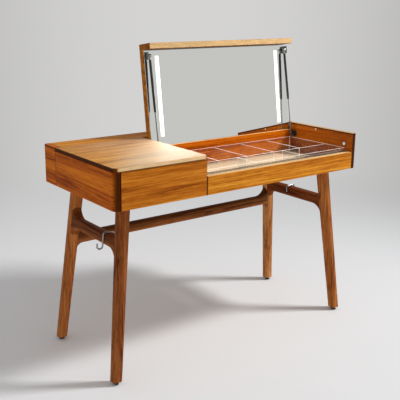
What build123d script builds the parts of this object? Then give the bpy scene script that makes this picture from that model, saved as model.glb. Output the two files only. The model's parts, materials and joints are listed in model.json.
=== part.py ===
"""Vanity table: a drawer case and a lift-up mirror lid on a splayed wooden base, in millimetres.

+Z is up, the front looks along -Y, and the origin is on the floor under the middle of the case.
The lid stands open, as it is used; it closes by turning forward about the pivot pins.
"""
import os
from math import atan2, cos, degrees, hypot, radians, sin

from build123d import *

# Case
CASE_WIDTH = 1140.0
CASE_DEPTH = 514.0
CASE_HEIGHT = 144.0
TOP_HEIGHT = 780.0
BOARD = 22.0
EDGE_ROUND = 20.0
END_ROUND = 8.0
EDGE_WALL = 1.0
EASE = 1.2
LEFT_WIDTH = 375.0
SPINE_DEPTH = 93.5
SPINE_SEAM = 1.0
BOTTOM_BOARD = 16.0
BACK_BOARD = 16.0
SPINE_BOARD = 12.0
APRON_HEIGHT = 68.0
TOP_PLATE = 12.0
TOP_TONGUE = 11.0
TOP_CORNER = 14.0
SHADOW_GAP = 3.0
SHADOW_DEPTH = 5.0
BACK_WALL = 9.0
BACK_WALL_TOP_GAP = 2.0

# Cable outlet in the back
OUTLET_FROM_RIGHT = 188.0
OUTLET_WIDTH = 44.0
OUTLET_HEIGHT = 24.0
OUTLET_LIFT = 4.0
GROMMET_WALL = 2.0
GROMMET_FLANGE = 3.0

# Driver for the lights
DRIVER_SIZE = (120.0, 42.0, 26.0)
DRIVER_FROM_RIGHT = 328.0
DRIVER_ROUND = 3.0

# Base
LEG_INSET_X = 88.0
LEG_INSET_Y = 95.0
LEG_SPLAY_X = 69.0
LEG_SPLAY_Y = 48.5
LEG_TOP = 44.0
LEG_FOOT = 38.0
LEG_ROUND = 14.0
GLIDE_DIAMETER = 20.0
GLIDE_HEIGHT = 12.0
SIDE_RAIL_DROP = 148.0
SIDE_RAIL_HEIGHT = 42.0
SIDE_RAIL_WIDTH = 38.0
BACK_RAIL_DROP = 220.0
BACK_RAIL_HEIGHT = 42.0
BACK_RAIL_WIDTH = 32.0
RAIL_ROUND = 12.0
RAIL_SWEEP = 44.0
RAIL_TIGHT = 16.0
RAIL_LOWER = 28.0
RAIL_BITE = 1.5
BOLT_DIAMETER = 8.0
BOLT_GRIP = 40.0
BOLT_HEAD = 18.0
BOLT_HEAD_HEIGHT = 5.0
BOLT_GAP = 0.3

# Lid, told in its own closed directions from the pivot
LID_OPEN = 98.0
PIVOT_BELOW_TOP = 13.0
LID_PANEL = 22.0
LID_BAND = 22.0
LID_END_GAP = 3.0
LID_BAND_GAP = 2.0
LID_TAIL = 43.0
LID_TAIL_GAP = 3.5
MIRROR = 5.0
MIRROR_INSET = 2.0
PIN_DIAMETER = 8.0
PIN_LENGTH = 14.0
PIN_GAP = 0.05
BUSH_DIAMETER = 12.0
BUSH_LENGTH = 17.0
PLATE = 2.0
PLATE_WIDTH = 36.0
PLATE_ABOVE = 8.0
PLATE_BELOW = 46.0
WALL_GAP = 1.2

# Light strips in the mirror
LIGHT_WIDTH = 20.0
LIGHT_WALL = 1.2
LIGHT_DEPTH = 13.0
LIGHT_FROM_END = 58.0
LIGHT_FROM_BAND = 24.0
LIGHT_FROM_PIVOT = 16.0
LIGHT_GAP = 0.2
DIFFUSER = 3.0
DIFFUSER_PROUD = 0.3

# Gas struts, one at each side of the compartment
STRUT_INBOARD = 20.0
STRUT_FOOT_FROM_PIVOT = 46.0
STRUT_FOOT_BELOW_TOP = 45.0
STRUT_HEAD_FROM_BAND = 24.0
STRUT_STANDOFF = 14.0
TUBE_DIAMETER = 10.0
TUBE_LENGTH = 200.0
TUBE_NECK = 15.0
TUBE_END_WALL = 2.0
ROD_DIAMETER = 5.0
ROD_END_GAP = 1.0
EYE_DIAMETER = 14.0
EYE_WIDTH = 10.0
NECK_DIAMETER = 6.0
STUD_DIAMETER = 6.0
STUD_LENGTH = 2.2
STUD_GAP = 0.3
MOUNT_DIAMETER = 30.0
MOUNT_HEIGHT = 6.0
BRACKET = 3.0
BRACKET_LENGTH = 30.0
BRACKET_FOOT = 10.5

# Organiser tray
TRAY_HEIGHT = 68.0
TRAY_WALL = 3.0
TRAY_END_GAP = 14.0
TRAY_FRONT_GAP = 3.0
TRAY_BACK_GAP = 4.0
TRAY_CROSS_FROM_FRONT = 137.0
TRAY_BACK_CELLS = 5
TRAY_FRONT_CELLS = 3
TRAY_DIVIDER_DROP = 3.0

# Light button and bumpers on the right end panel and the back wall
BUTTON_FROM_FRONT = 41.0
BUTTON_BELOW_TOP = 47.0
BUTTON_DIAMETER = 13.0
BUTTON_HEIGHT = 9.0
BUTTON_PROUD = 2.4
BUTTON_TRAVEL = 1.5
BUTTON_GAP = 0.3
BEZEL_DIAMETER = 18.0
BEZEL_FLANGE = 1.0
BEZEL_BODY = 15.0
BUMPER_DIAMETER = 8.0
BUMPER_HEIGHT = 1.0
BUMPER_FROM_FRONT = 201.0
BUMPER_BELOW_TOP = 10.0
REST_INSET = 60.0

# Drawer
DRAWER_GAP = 1.5
DRAWER_LEFT_GAP = 3.0
DRAWER_SEAT = 0.4
DRAWER_SIDE = 12.0
DRAWER_BACK_GAP = 22.9
DRAWER_FLOOR = 6.0
DRAWER_FLOOR_LIFT = 6.0
DRAWER_BOX_LIFT = 8.0
DRAWER_TOP_GAP = 13.0
DRAWER_GROOVE = 5.0
RUNNER_BACK_GAP = 22.6
RUNNER_HEIGHT = 36.0
RUNNER_WIDTH = 12.6
RUNNER_SHEET = 1.3
RUNNER_GAP = 0.4
RUNNER_LIFT = 38.0
RUNNER_SETBACK = 3.0

# Bag hooks over the side rails
HOOK_WIRE = 6.0
HOOK_GAP = 0.6
HOOK_LEFT_Y = -88.0
HOOK_RIGHT_Y = 28.0
HOOK_INNER_DROP = 24.0
HOOK_DROP = 59.0
HOOK_CURL = 22.0
HOOK_TIP = 9.0
HOOK_BEND = 9.0

# Worked out from the sizes above
HALF_WIDTH = CASE_WIDTH / 2
FRONT = -CASE_DEPTH / 2
BACK = CASE_DEPTH / 2
CASE_BOTTOM = TOP_HEIGHT - CASE_HEIGHT
FLOOR = CASE_BOTTOM + BOTTOM_BOARD
INNER_FRONT = FRONT + BOARD
DRAWER_START = INNER_FRONT - DRAWER_SEAT
INNER_BACK = BACK - BACK_BOARD
INNER_LEFT = -HALF_WIDTH + BOARD
INNER_RIGHT = HALF_WIDTH - BOARD
SEAM = -HALF_WIDTH + LEFT_WIDTH
DIVIDER_LEFT = SEAM - BOARD
SPINE = BACK - SPINE_DEPTH
SIDE_END = SPINE - SPINE_SEAM
TOP_PLATE_UNDER = TOP_HEIGHT - TOP_PLATE
PANEL_TOP = TOP_PLATE_UNDER - SHADOW_GAP
SPINE_TOP_UNDER = TOP_HEIGHT - BOARD
APRON_TOP = CASE_BOTTOM + APRON_HEIGHT
CORNER_ROUND = min(EDGE_ROUND, BOARD - EDGE_WALL)
END_CORNER = min(END_ROUND, BOARD - EDGE_WALL)
OUTLET_X = INNER_RIGHT - OUTLET_FROM_RIGHT
DRIVER_X = INNER_RIGHT - DRIVER_FROM_RIGHT
LEG_TOP_X = HALF_WIDTH - LEG_INSET_X
LEG_TOP_Y = BACK - LEG_INSET_Y
SIDE_RAIL_Z = CASE_BOTTOM - SIDE_RAIL_DROP
BACK_RAIL_Z = CASE_BOTTOM - BACK_RAIL_DROP

PIVOT_Y = SPINE - LID_TAIL_GAP - LID_TAIL
PIVOT_Z = TOP_HEIGHT - PIVOT_BELOW_TOP
LID_LEFT = SEAM + LID_END_GAP
LID_RIGHT = INNER_RIGHT - LID_END_GAP
LID_OUTSIDE = PIVOT_BELOW_TOP
LID_INSIDE = PIVOT_BELOW_TOP - LID_PANEL
MIRROR_FACE = LID_INSIDE - MIRROR
LID_FRONT = FRONT - PIVOT_Y
BAND_BACK = LID_FRONT + LID_BAND
LIGHT_SPAN = (BAND_BACK + LIGHT_FROM_BAND, -LIGHT_FROM_PIVOT)
BAND_LOW = APRON_TOP + LID_BAND_GAP - PIVOT_Z
OPEN_COS = cos(radians(LID_OPEN))
OPEN_SIN = sin(radians(LID_OPEN))
LID = Plane(origin=(0, PIVOT_Y, PIVOT_Z), x_dir=(1, 0, 0), z_dir=(0, OPEN_SIN, OPEN_COS))
TAIL_FRONT_Y = PIVOT_Y + LID_TAIL * OPEN_COS + MIRROR_FACE * OPEN_SIN
BACK_WALL_BACK = TAIL_FRONT_Y - WALL_GAP
BACK_WALL_FRONT = BACK_WALL_BACK - BACK_WALL
BACK_WALL_TOP = PIVOT_Z + MIRROR_FACE - BACK_WALL_TOP_GAP

STRUT_FOOT_Y = PIVOT_Y - STRUT_FOOT_FROM_PIVOT
STRUT_FOOT_Z = TOP_HEIGHT - STRUT_FOOT_BELOW_TOP
STRUT_REACH = -BAND_BACK - STRUT_HEAD_FROM_BAND
STRUT_HEAD_Z = MIRROR_FACE - STRUT_STANDOFF
STRUT_HEAD = LID.from_local_coords(Vector(0, -STRUT_REACH, STRUT_HEAD_Z))
STRUT_RISE = STRUT_HEAD.Z - STRUT_FOOT_Z
STRUT_RUN = STRUT_HEAD.Y - STRUT_FOOT_Y
STRUT_LONG = hypot(STRUT_RUN, STRUT_RISE)
CLOSED_RUN = PIVOT_Y - STRUT_REACH - STRUT_FOOT_Y
CLOSED_RISE = PIVOT_Z + STRUT_HEAD_Z - STRUT_FOOT_Z
STRUT_SHORT = hypot(CLOSED_RUN, CLOSED_RISE)
ROD_LENGTH = STRUT_SHORT - TUBE_NECK - TUBE_END_WALL - ROD_END_GAP
TRAY_TOP = FLOOR + TRAY_HEIGHT
RUNNER_Z = FLOOR + RUNNER_LIFT
TONGUE_LOW = TOP_PLATE_UNDER - TOP_TONGUE
SIDES = {"left": (SEAM, 1), "right": (INNER_RIGHT, -1)}


def span_box(x_span, y_span, z_span, mode=Mode.ADD):
    """A box between three pairs of limits, in the part's own plane."""
    sizes = [high - low for low, high in (x_span, y_span, z_span)]
    middle = tuple((low + high) / 2 for low, high in (x_span, y_span, z_span))
    with Locations(middle):
        return Box(*sizes, mode=mode)


def cross_pin(x_span, y, z, diameter, mode=Mode.ADD):
    """A cylinder along X between two places."""
    with Locations(((x_span[0] + x_span[1]) / 2, y, z)):
        return Cylinder(diameter / 2, abs(x_span[1] - x_span[0]), rotation=(0, 90, 0), mode=mode)


def save(builder, name):
    """Label a finished piece and write it."""
    builder.part.label = name
    export_step(builder.part, f"parts/{name}.step")


def leg_centre(z):
    """How far a leg's middle stands from the table's middle, in X and Y, at a height."""
    share = (CASE_BOTTOM - z) / CASE_BOTTOM
    return LEG_TOP_X + LEG_SPLAY_X * share, LEG_TOP_Y + LEG_SPLAY_Y * share


def leg_half(z):
    """Half a leg's thickness at a height."""
    share = (CASE_BOTTOM - z) / (CASE_BOTTOM - GLIDE_HEIGHT)
    return (LEG_TOP + (LEG_FOOT - LEG_TOP) * share) / 2


def ordered(one, other):
    """Two limits, the lower first."""
    return (min(one, other), max(one, other))


os.makedirs("parts", exist_ok=True)

# Case: left side, right end, divider and bottom
with BuildPart() as left_side_panel:
    span_box((-HALF_WIDTH, INNER_LEFT), (FRONT, SIDE_END), (CASE_BOTTOM, PANEL_TOP))
    corner = left_side_panel.edges().filter_by(Axis.Z).sort_by(Axis.X)[:2].sort_by(Axis.Y)[0]
    fillet(corner, CORNER_ROUND)
    fillet(left_side_panel.faces().sort_by(Axis.X)[0].edges().filter_by(Axis.Y), EASE)
save(left_side_panel, "left_side_panel")

with BuildPart() as right_end_panel:
    span_box((INNER_RIGHT, HALF_WIDTH), (FRONT, SIDE_END), (CASE_BOTTOM, TOP_HEIGHT))
    corner = right_end_panel.edges().filter_by(Axis.Z).sort_by(Axis.X)[-2:].sort_by(Axis.Y)[0]
    fillet(corner, END_CORNER)
    fillet(right_end_panel.faces().sort_by(Axis.Z)[-1].edges(), EASE)
    button_y = FRONT + BUTTON_FROM_FRONT
    button_z = TOP_HEIGHT - BUTTON_BELOW_TOP
    bezel_bottom = INNER_RIGHT + BUTTON_HEIGHT + BUTTON_TRAVEL
    cross_pin((INNER_RIGHT, bezel_bottom), button_y, button_z, BEZEL_BODY, mode=Mode.SUBTRACT)
save(right_end_panel, "right_end_panel")

with BuildPart() as divider_panel:
    span_box((DIVIDER_LEFT, SEAM), (INNER_FRONT, SPINE), (FLOOR, TOP_PLATE_UNDER))
save(divider_panel, "divider_panel")

with BuildPart() as bottom_panel:
    span_box((INNER_LEFT, INNER_RIGHT), (INNER_FRONT, INNER_BACK), (CASE_BOTTOM, FLOOR))
    with Locations(Plane.XY.offset(FLOOR)):
        with GridLocations(2 * LEG_TOP_X, 2 * LEG_TOP_Y, 2, 2):
            CounterBoreHole(
                BOLT_DIAMETER / 2 + BOLT_GAP,
                BOLT_HEAD / 2 + BOLT_GAP,
                BOLT_HEAD_HEIGHT,
                depth=BOTTOM_BOARD,
            )
save(bottom_panel, "bottom_panel")

# Left top: a thin plate with a tongue below it, so that a shadow gap runs round under its edge
with BuildPart() as left_top_panel:
    with BuildSketch(Plane.XY.offset(TOP_PLATE_UNDER)):
        with Locations(((-HALF_WIDTH + SEAM) / 2, (FRONT + SIDE_END) / 2)):
            Rectangle(LEFT_WIDTH, SIDE_END - FRONT)
        front_corners = vertices().sort_by(Axis.Y)[:2].sort_by(Axis.X)
        fillet(front_corners[0], CORNER_ROUND)
        fillet(vertices().sort_by(Axis.X)[-2:].sort_by(Axis.Y)[0], TOP_CORNER)
    extrude(amount=TOP_PLATE)
    fillet(left_top_panel.faces().sort_by(Axis.Z)[-1].edges(), EASE)
    tongue_back = SIDE_END - SHADOW_DEPTH
    span_box((INNER_LEFT, DIVIDER_LEFT), (INNER_FRONT, tongue_back), (TONGUE_LOW, TOP_PLATE_UNDER))
save(left_top_panel, "left_top_panel")

with BuildPart() as front_apron:
    span_box((SEAM, INNER_RIGHT), (FRONT, INNER_FRONT), (CASE_BOTTOM, APRON_TOP))
    fillet(front_apron.edges().filter_by(Axis.X).group_by(Axis.Y)[0], EASE)
save(front_apron, "front_apron")

with BuildPart() as compartment_back_panel:
    span_box((SEAM, INNER_RIGHT), (BACK_WALL_FRONT, BACK_WALL_BACK), (FLOOR, BACK_WALL_TOP))
    fillet(compartment_back_panel.faces().sort_by(Axis.Z)[-1].edges().filter_by(Axis.X), EASE)
save(compartment_back_panel, "compartment_back_panel")

# Rear spine, the closed box behind the lid that hides the wiring
with BuildPart() as spine_front_board:
    span_box((INNER_LEFT, INNER_RIGHT), (SPINE, SPINE + SPINE_BOARD), (FLOOR, SPINE_TOP_UNDER))
save(spine_front_board, "spine_front_board")

with BuildPart() as spine_top_board:
    span_box((INNER_LEFT, INNER_RIGHT), (SPINE, BACK), (SPINE_TOP_UNDER, TOP_HEIGHT))
    fillet(spine_top_board.faces().sort_by(Axis.Z)[-1].edges().filter_by(Axis.X), EASE)
save(spine_top_board, "spine_top_board")

for side, inner, outer in (("left", INNER_LEFT, -HALF_WIDTH), ("right", INNER_RIGHT, HALF_WIDTH)):
    with BuildPart() as spine_end:
        span_box(ordered(inner, outer), (SPINE, BACK), (CASE_BOTTOM, TOP_HEIGHT))
        back_edges = spine_end.edges().filter_by(Axis.Z).group_by(Axis.Y)[-1]
        fillet(back_edges.sort_by(lambda edge: abs(edge.center().X))[-1], END_CORNER)
        fillet(spine_end.faces().sort_by(Axis.Z)[-1].edges(), EASE)
    save(spine_end, f"spine_end_{side}")

outlet_x = (OUTLET_X - OUTLET_WIDTH / 2, OUTLET_X + OUTLET_WIDTH / 2)
outlet_z = (FLOOR + OUTLET_LIFT, FLOOR + OUTLET_LIFT + OUTLET_HEIGHT)
with BuildPart() as back_panel:
    span_box((INNER_LEFT, INNER_RIGHT), (INNER_BACK, BACK), (CASE_BOTTOM, SPINE_TOP_UNDER))
    span_box(outlet_x, (INNER_BACK, BACK), outlet_z, mode=Mode.SUBTRACT)
save(back_panel, "back_panel")

with BuildPart() as cable_grommet:
    with BuildSketch(Plane.XZ.offset(-INNER_BACK)):
        with Locations((OUTLET_X, (outlet_z[0] + outlet_z[1]) / 2)):
            Rectangle(OUTLET_WIDTH, OUTLET_HEIGHT)
            Rectangle(
                OUTLET_WIDTH - 2 * GROMMET_WALL,
                OUTLET_HEIGHT - 2 * GROMMET_WALL,
                mode=Mode.SUBTRACT,
            )
    extrude(amount=-BACK_BOARD)
    with BuildSketch(Plane.XZ.offset(-INNER_BACK)):
        with Locations((OUTLET_X, (outlet_z[0] + outlet_z[1]) / 2)):
            RectangleRounded(
                OUTLET_WIDTH + 2 * GROMMET_FLANGE,
                OUTLET_HEIGHT + 2 * GROMMET_FLANGE,
                GROMMET_FLANGE,
            )
            Rectangle(
                OUTLET_WIDTH - 2 * GROMMET_WALL,
                OUTLET_HEIGHT - 2 * GROMMET_WALL,
                mode=Mode.SUBTRACT,
            )
    extrude(amount=GROMMET_WALL)
save(cable_grommet, "cable_grommet")

with BuildPart() as led_driver:
    driver_y = (SPINE + SPINE_BOARD + INNER_BACK) / 2
    with Locations((DRIVER_X, driver_y, FLOOR + DRIVER_SIZE[2] / 2)):
        Box(*DRIVER_SIZE)
    fillet(led_driver.faces().sort_by(Axis.Z)[-1].edges(), DRIVER_ROUND)
save(led_driver, "led_driver")

# Base: splayed legs of soft square section, tapered to the foot
legs = {}
for side, x_sign in (("left", -1), ("right", 1)):
    for end, y_sign in (("front", -1), ("back", 1)):
        with BuildPart() as leg:
            for height in (GLIDE_HEIGHT, CASE_BOTTOM):
                leg_x, leg_y = leg_centre(height)
                with BuildSketch(Plane.XY.offset(height)):
                    with Locations((x_sign * leg_x, y_sign * leg_y)):
                        RectangleRounded(2 * leg_half(height), 2 * leg_half(height), LEG_ROUND)
            loft()
            bolt_bottom = CASE_BOTTOM - BOLT_GRIP - BOLT_GAP
            with Locations((x_sign * LEG_TOP_X, y_sign * LEG_TOP_Y, (CASE_BOTTOM + bolt_bottom) / 2)):
                Cylinder(BOLT_DIAMETER / 2 + BOLT_GAP, CASE_BOTTOM - bolt_bottom, mode=Mode.SUBTRACT)
        legs[end, side] = leg.part
        save(leg, f"leg_{end}_{side}")

foot_x, foot_y = leg_centre(GLIDE_HEIGHT)
with BuildPart() as foot_glides:
    with GridLocations(2 * foot_x, 2 * foot_y, 2, 2):
        with Locations((0, 0, GLIDE_HEIGHT / 2)):
            Cylinder(GLIDE_DIAMETER / 2, GLIDE_HEIGHT)
    fillet(foot_glides.faces().group_by(Axis.Z)[0].edges(), EASE)
save(foot_glides, "foot_glides")

with BuildPart() as leg_bolts:
    head_z = FLOOR - BOLT_HEAD_HEIGHT
    with GridLocations(2 * LEG_TOP_X, 2 * LEG_TOP_Y, 2, 2):
        with Locations((0, 0, (CASE_BOTTOM - BOLT_GRIP + head_z) / 2)):
            Cylinder(BOLT_DIAMETER / 2, head_z - CASE_BOTTOM + BOLT_GRIP)
        with Locations((0, 0, head_z + BOLT_HEAD_HEIGHT / 2)):
            Cylinder(BOLT_HEAD / 2, BOLT_HEAD_HEIGHT)
save(leg_bolts, "leg_bolts")


SPLAY = (LEG_SPLAY_X / CASE_BOTTOM, LEG_SPLAY_Y / CASE_BOTTOM)
SIDE_RAIL_SPOT = leg_centre(SIDE_RAIL_Z)[0]
BACK_RAIL_SPOT = leg_centre(BACK_RAIL_Z)[1]


def side_rail_plane(x_sign):
    """The leaning plane through both legs of one end, with Y along it."""
    spot = (x_sign * SIDE_RAIL_SPOT, 0, SIDE_RAIL_Z)
    return Plane(origin=spot, x_dir=(0, 1, 0), z_dir=(1, 0, x_sign * SPLAY[0]))


def back_rail_plane():
    """The leaning plane through both back legs, with X along it."""
    return Plane(origin=(0, BACK_RAIL_SPOT, BACK_RAIL_Z), x_dir=(1, 0, 0), z_dir=(0, -1, -SPLAY[1]))


def rail_reach(height):
    """How far above and below a rail's middle its swept ends are drawn."""
    return height / 2 + 1.2 * RAIL_SWEEP


def along_leg(axis, z, level):
    """A leg's middle and its inner side, as a rail's plane sees them a little above its middle."""
    height = z + level / hypot(1, SPLAY[1 - axis])
    middle = leg_centre(height)[axis]
    return middle, middle - leg_half(height) + RAIL_BITE


def rail_outline(axis, z, height, is_tight, tight):
    """A rail between two legs seen from its side, swept into them, with some inside corners tighter."""
    reach = rail_reach(height)

    def is_corner(vertex):
        leg_side = along_leg(axis, z, vertex.Y)[1]
        return abs(vertex.Y) < reach - RAIL_BITE and abs(vertex.X) > leg_side - RAIL_BITE

    corners = [
        (along_leg(axis, z, -height / 2)[1], -height / 2),
        (along_leg(axis, z, -reach)[1], -reach),
        (along_leg(axis, z, -reach)[0], -reach),
        (along_leg(axis, z, reach)[0], reach),
        (along_leg(axis, z, reach)[1], reach),
        (along_leg(axis, z, height / 2)[1], height / 2),
    ]
    mirrored = [(-x, level) for x, level in reversed(corners)]
    Polygon(*corners, *mirrored, align=None)
    fillet(vertices().filter_by(lambda vertex: is_corner(vertex) and not is_tight(vertex)), RAIL_SWEEP)
    fillet(vertices().filter_by(lambda vertex: is_corner(vertex) and is_tight(vertex)), tight)


def round_rail(rail, plane, axis, z, height):
    """Round the edges that run along a rail and round its sweeps, on both of its sides."""
    reach = rail_reach(height)

    def runs_along(edge):
        if abs((edge @ 0 - edge @ 1).dot(plane.z_dir)) > RAIL_BITE:
            return False
        spot = plane.to_local_coords(edge.center())
        return abs(spot.Y) < reach - RAIL_BITE and abs(spot.X) < along_leg(axis, z, spot.Y)[0] - RAIL_BITE

    fillet(rail.edges().filter_by(runs_along), RAIL_ROUND)


def is_front_upper(vertex):
    """True for the inside corner above a side rail at its front leg."""
    return vertex.X < 0 < vertex.Y


def is_lower(vertex):
    """True for the inside corners below the back rail."""
    return vertex.Y < 0


side_rails = []
for side, x_sign in (("left", -1), ("right", 1)):
    rail_plane = side_rail_plane(x_sign)
    with BuildPart() as side_rail:
        with BuildSketch(rail_plane):
            rail_outline(1, SIDE_RAIL_Z, SIDE_RAIL_HEIGHT, is_front_upper, RAIL_TIGHT)
        extrude(amount=SIDE_RAIL_WIDTH / 2, both=True)
        round_rail(side_rail, rail_plane, 1, SIDE_RAIL_Z, SIDE_RAIL_HEIGHT)
        for end in ("front", "back"):
            add(legs[end, side], mode=Mode.SUBTRACT)
    side_rails.append(side_rail.part)
    save(side_rail, f"side_rail_{side}")

with BuildPart() as back_rail:
    with BuildSketch(back_rail_plane()):
        rail_outline(0, BACK_RAIL_Z, BACK_RAIL_HEIGHT, is_lower, RAIL_LOWER)
    extrude(amount=BACK_RAIL_WIDTH / 2, both=True)
    round_rail(back_rail, back_rail_plane(), 0, BACK_RAIL_Z, BACK_RAIL_HEIGHT)
    for side in ("left", "right"):
        add(legs["back", side], mode=Mode.SUBTRACT)
    for rail in side_rails:
        add(rail, mode=Mode.SUBTRACT)
save(back_rail, "back_rail")

# Pivot plates with their pins, one on each wall of the compartment
with BuildPart() as pivot_plates:
    for wall, inward in SIDES.values():
        plate_x = ordered(wall, wall + inward * PLATE)
        plate_y = (PIVOT_Y - PLATE_WIDTH / 2, PIVOT_Y + PLATE_WIDTH / 2)
        span_box(plate_x, plate_y, (PIVOT_Z - PLATE_BELOW, PIVOT_Z + PLATE_ABOVE))
        pin_x = ordered(wall + inward * PLATE, wall + inward * (PLATE + PIN_LENGTH))
        cross_pin(pin_x, PIVOT_Y, PIVOT_Z, PIN_DIAMETER)
save(pivot_plates, "pivot_plates")

# Lid, drawn closed on its own plane, which leans back
with BuildPart(LID) as lid_panel:
    span_box((LID_LEFT, LID_RIGHT), (BAND_BACK, LID_TAIL), (LID_INSIDE, LID_OUTSIDE))
    light_y = (LIGHT_SPAN[0] - LIGHT_GAP, LIGHT_SPAN[1] + LIGHT_GAP)
    light_half = LIGHT_WIDTH / 2 + LIGHT_GAP
    for wall, inward in SIDES.values():
        light_x = wall + inward * (LID_END_GAP + LIGHT_FROM_END)
        groove = (light_x - light_half, light_x + light_half)
        span_box(groove, light_y, (LID_INSIDE, MIRROR_FACE + LIGHT_DEPTH), mode=Mode.SUBTRACT)
        lid_end = wall + inward * LID_END_GAP
        bush_x = ordered(lid_end, lid_end + inward * BUSH_LENGTH)
        cross_pin(bush_x, 0, 0, BUSH_DIAMETER + 2 * PIN_GAP, mode=Mode.SUBTRACT)
save(lid_panel, "lid_panel")

with BuildPart(LID) as lid_front_band:
    span_box((LID_LEFT, LID_RIGHT), (LID_FRONT, BAND_BACK), (BAND_LOW, LID_OUTSIDE))
    fillet(lid_front_band.edges().filter_by(Axis.X), EASE)
save(lid_front_band, "lid_front_band")

with BuildPart(LID) as mirror_glass:
    glass_x = (LID_LEFT + MIRROR_INSET, LID_RIGHT - MIRROR_INSET)
    span_box(glass_x, (BAND_BACK, LID_TAIL - MIRROR_INSET), (MIRROR_FACE, LID_INSIDE))
    for wall, inward in SIDES.values():
        light_x = wall + inward * (LID_END_GAP + LIGHT_FROM_END)
        slot = (light_x - light_half, light_x + light_half)
        span_box(slot, light_y, (MIRROR_FACE, LID_INSIDE), mode=Mode.SUBTRACT)
save(mirror_glass, "mirror_glass")

for side, (wall, inward) in SIDES.items():
    light_x = wall + inward * (LID_END_GAP + LIGHT_FROM_END)
    channel_x = (light_x - LIGHT_WIDTH / 2, light_x + LIGHT_WIDTH / 2)
    mouth_x = (channel_x[0] + LIGHT_WALL, channel_x[1] - LIGHT_WALL)
    channel_back = MIRROR_FACE + LIGHT_DEPTH
    with BuildPart(LID) as led_profile:
        span_box(channel_x, LIGHT_SPAN, (MIRROR_FACE, channel_back))
        span_box(mouth_x, LIGHT_SPAN, (MIRROR_FACE, channel_back - LIGHT_WALL), mode=Mode.SUBTRACT)
    save(led_profile, f"led_profile_{side}")
    with BuildPart(LID) as led_diffuser:
        diffuser_front = MIRROR_FACE - DIFFUSER_PROUD
        span_box(mouth_x, LIGHT_SPAN, (diffuser_front, diffuser_front + DIFFUSER))
    save(led_diffuser, f"led_diffuser_{side}")

with BuildPart(LID) as pivot_bushes:
    for wall, inward in SIDES.values():
        lid_end = wall + inward * LID_END_GAP
        bush_x = ordered(lid_end, lid_end + inward * BUSH_LENGTH)
        cross_pin(bush_x, 0, 0, BUSH_DIAMETER)
        cross_pin(bush_x, 0, 0, PIN_DIAMETER + 2 * PIN_GAP, mode=Mode.SUBTRACT)
save(pivot_bushes, "pivot_bushes")

with BuildPart(LID) as strut_lid_brackets:
    for wall, inward in SIDES.values():
        eye_side = wall + inward * (STRUT_INBOARD - EYE_WIDTH / 2 - STUD_GAP)
        lug_x = ordered(eye_side - inward * STUD_LENGTH, eye_side - inward * (STUD_LENGTH + BRACKET))
        lug_y = (-STRUT_REACH - BRACKET_LENGTH / 2, -STRUT_REACH + BRACKET_LENGTH / 2)
        span_box(lug_x, lug_y, (STRUT_HEAD_Z - STUD_DIAMETER, MIRROR_FACE))
        foot_out = ordered(lug_x[0] if inward > 0 else lug_x[1], eye_side - inward * BRACKET_FOOT)
        span_box(foot_out, lug_y, (MIRROR_FACE - BRACKET, MIRROR_FACE))
        stud_x = ordered(eye_side, eye_side - inward * STUD_LENGTH)
        cross_pin(stud_x, -STRUT_REACH, STRUT_HEAD_Z, STUD_DIAMETER)
save(strut_lid_brackets, "strut_lid_brackets")

# Gas struts: the rod turns on the case, and the tube slides on it
with BuildPart() as strut_wall_mounts:
    for wall, inward in SIDES.values():
        base_x = ordered(wall, wall + inward * MOUNT_HEIGHT)
        cross_pin(base_x, STRUT_FOOT_Y, STRUT_FOOT_Z, MOUNT_DIAMETER)
        stud_end = wall + inward * (STRUT_INBOARD + EYE_WIDTH / 2)
        stud_x = ordered(wall + inward * MOUNT_HEIGHT, stud_end)
        cross_pin(stud_x, STRUT_FOOT_Y, STRUT_FOOT_Z, STUD_DIAMETER)
save(strut_wall_mounts, "strut_wall_mounts")

for side, (wall, inward) in SIDES.items():
    strut_x = wall + inward * STRUT_INBOARD
    strut = Plane(
        origin=(strut_x, STRUT_FOOT_Y, STRUT_FOOT_Z),
        x_dir=(1, 0, 0),
        z_dir=(0, STRUT_RUN, STRUT_RISE),
    )
    eye_x = (-EYE_WIDTH / 2, EYE_WIDTH / 2)
    tube_top = STRUT_LONG - TUBE_NECK
    tube_low = tube_top - TUBE_LENGTH
    with BuildPart(strut) as strut_rod:
        cross_pin(eye_x, 0, 0, EYE_DIAMETER)
        with Locations((0, 0, ROD_LENGTH / 2)):
            Cylinder(ROD_DIAMETER / 2, ROD_LENGTH)
        cross_pin(eye_x, 0, 0, STUD_DIAMETER + 2 * PIN_GAP, mode=Mode.SUBTRACT)
    save(strut_rod, f"strut_rod_{side}")
    with BuildPart(strut) as strut_tube:
        with Locations((0, 0, (tube_low + tube_top) / 2)):
            Cylinder(TUBE_DIAMETER / 2, TUBE_LENGTH)
        fillet(strut_tube.edges(), EASE)
        with Locations((0, 0, (tube_top + STRUT_LONG) / 2)):
            Cylinder(NECK_DIAMETER / 2, TUBE_NECK)
        cross_pin(eye_x, 0, STRUT_LONG, EYE_DIAMETER)
        bore_top = tube_top - TUBE_END_WALL
        with Locations((0, 0, (tube_low + bore_top) / 2)):
            Cylinder(ROD_DIAMETER / 2 + PIN_GAP, bore_top - tube_low, mode=Mode.SUBTRACT)
    save(strut_tube, f"strut_tube_{side}")

# Organiser tray: base, rim and partitions of clear sheet
tray_x = (SEAM + TRAY_END_GAP, INNER_RIGHT - TRAY_END_GAP)
tray_y = (INNER_FRONT + TRAY_FRONT_GAP, BACK_WALL_FRONT - TRAY_BACK_GAP)
tray_floor = FLOOR + TRAY_WALL
tray_size = (tray_x[1] - tray_x[0], tray_y[1] - tray_y[0])
tray_middle = ((tray_x[0] + tray_x[1]) / 2, (tray_y[0] + tray_y[1]) / 2)
with BuildPart() as tray_base:
    span_box(tray_x, tray_y, (FLOOR, tray_floor))
save(tray_base, "tray_base")

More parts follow.
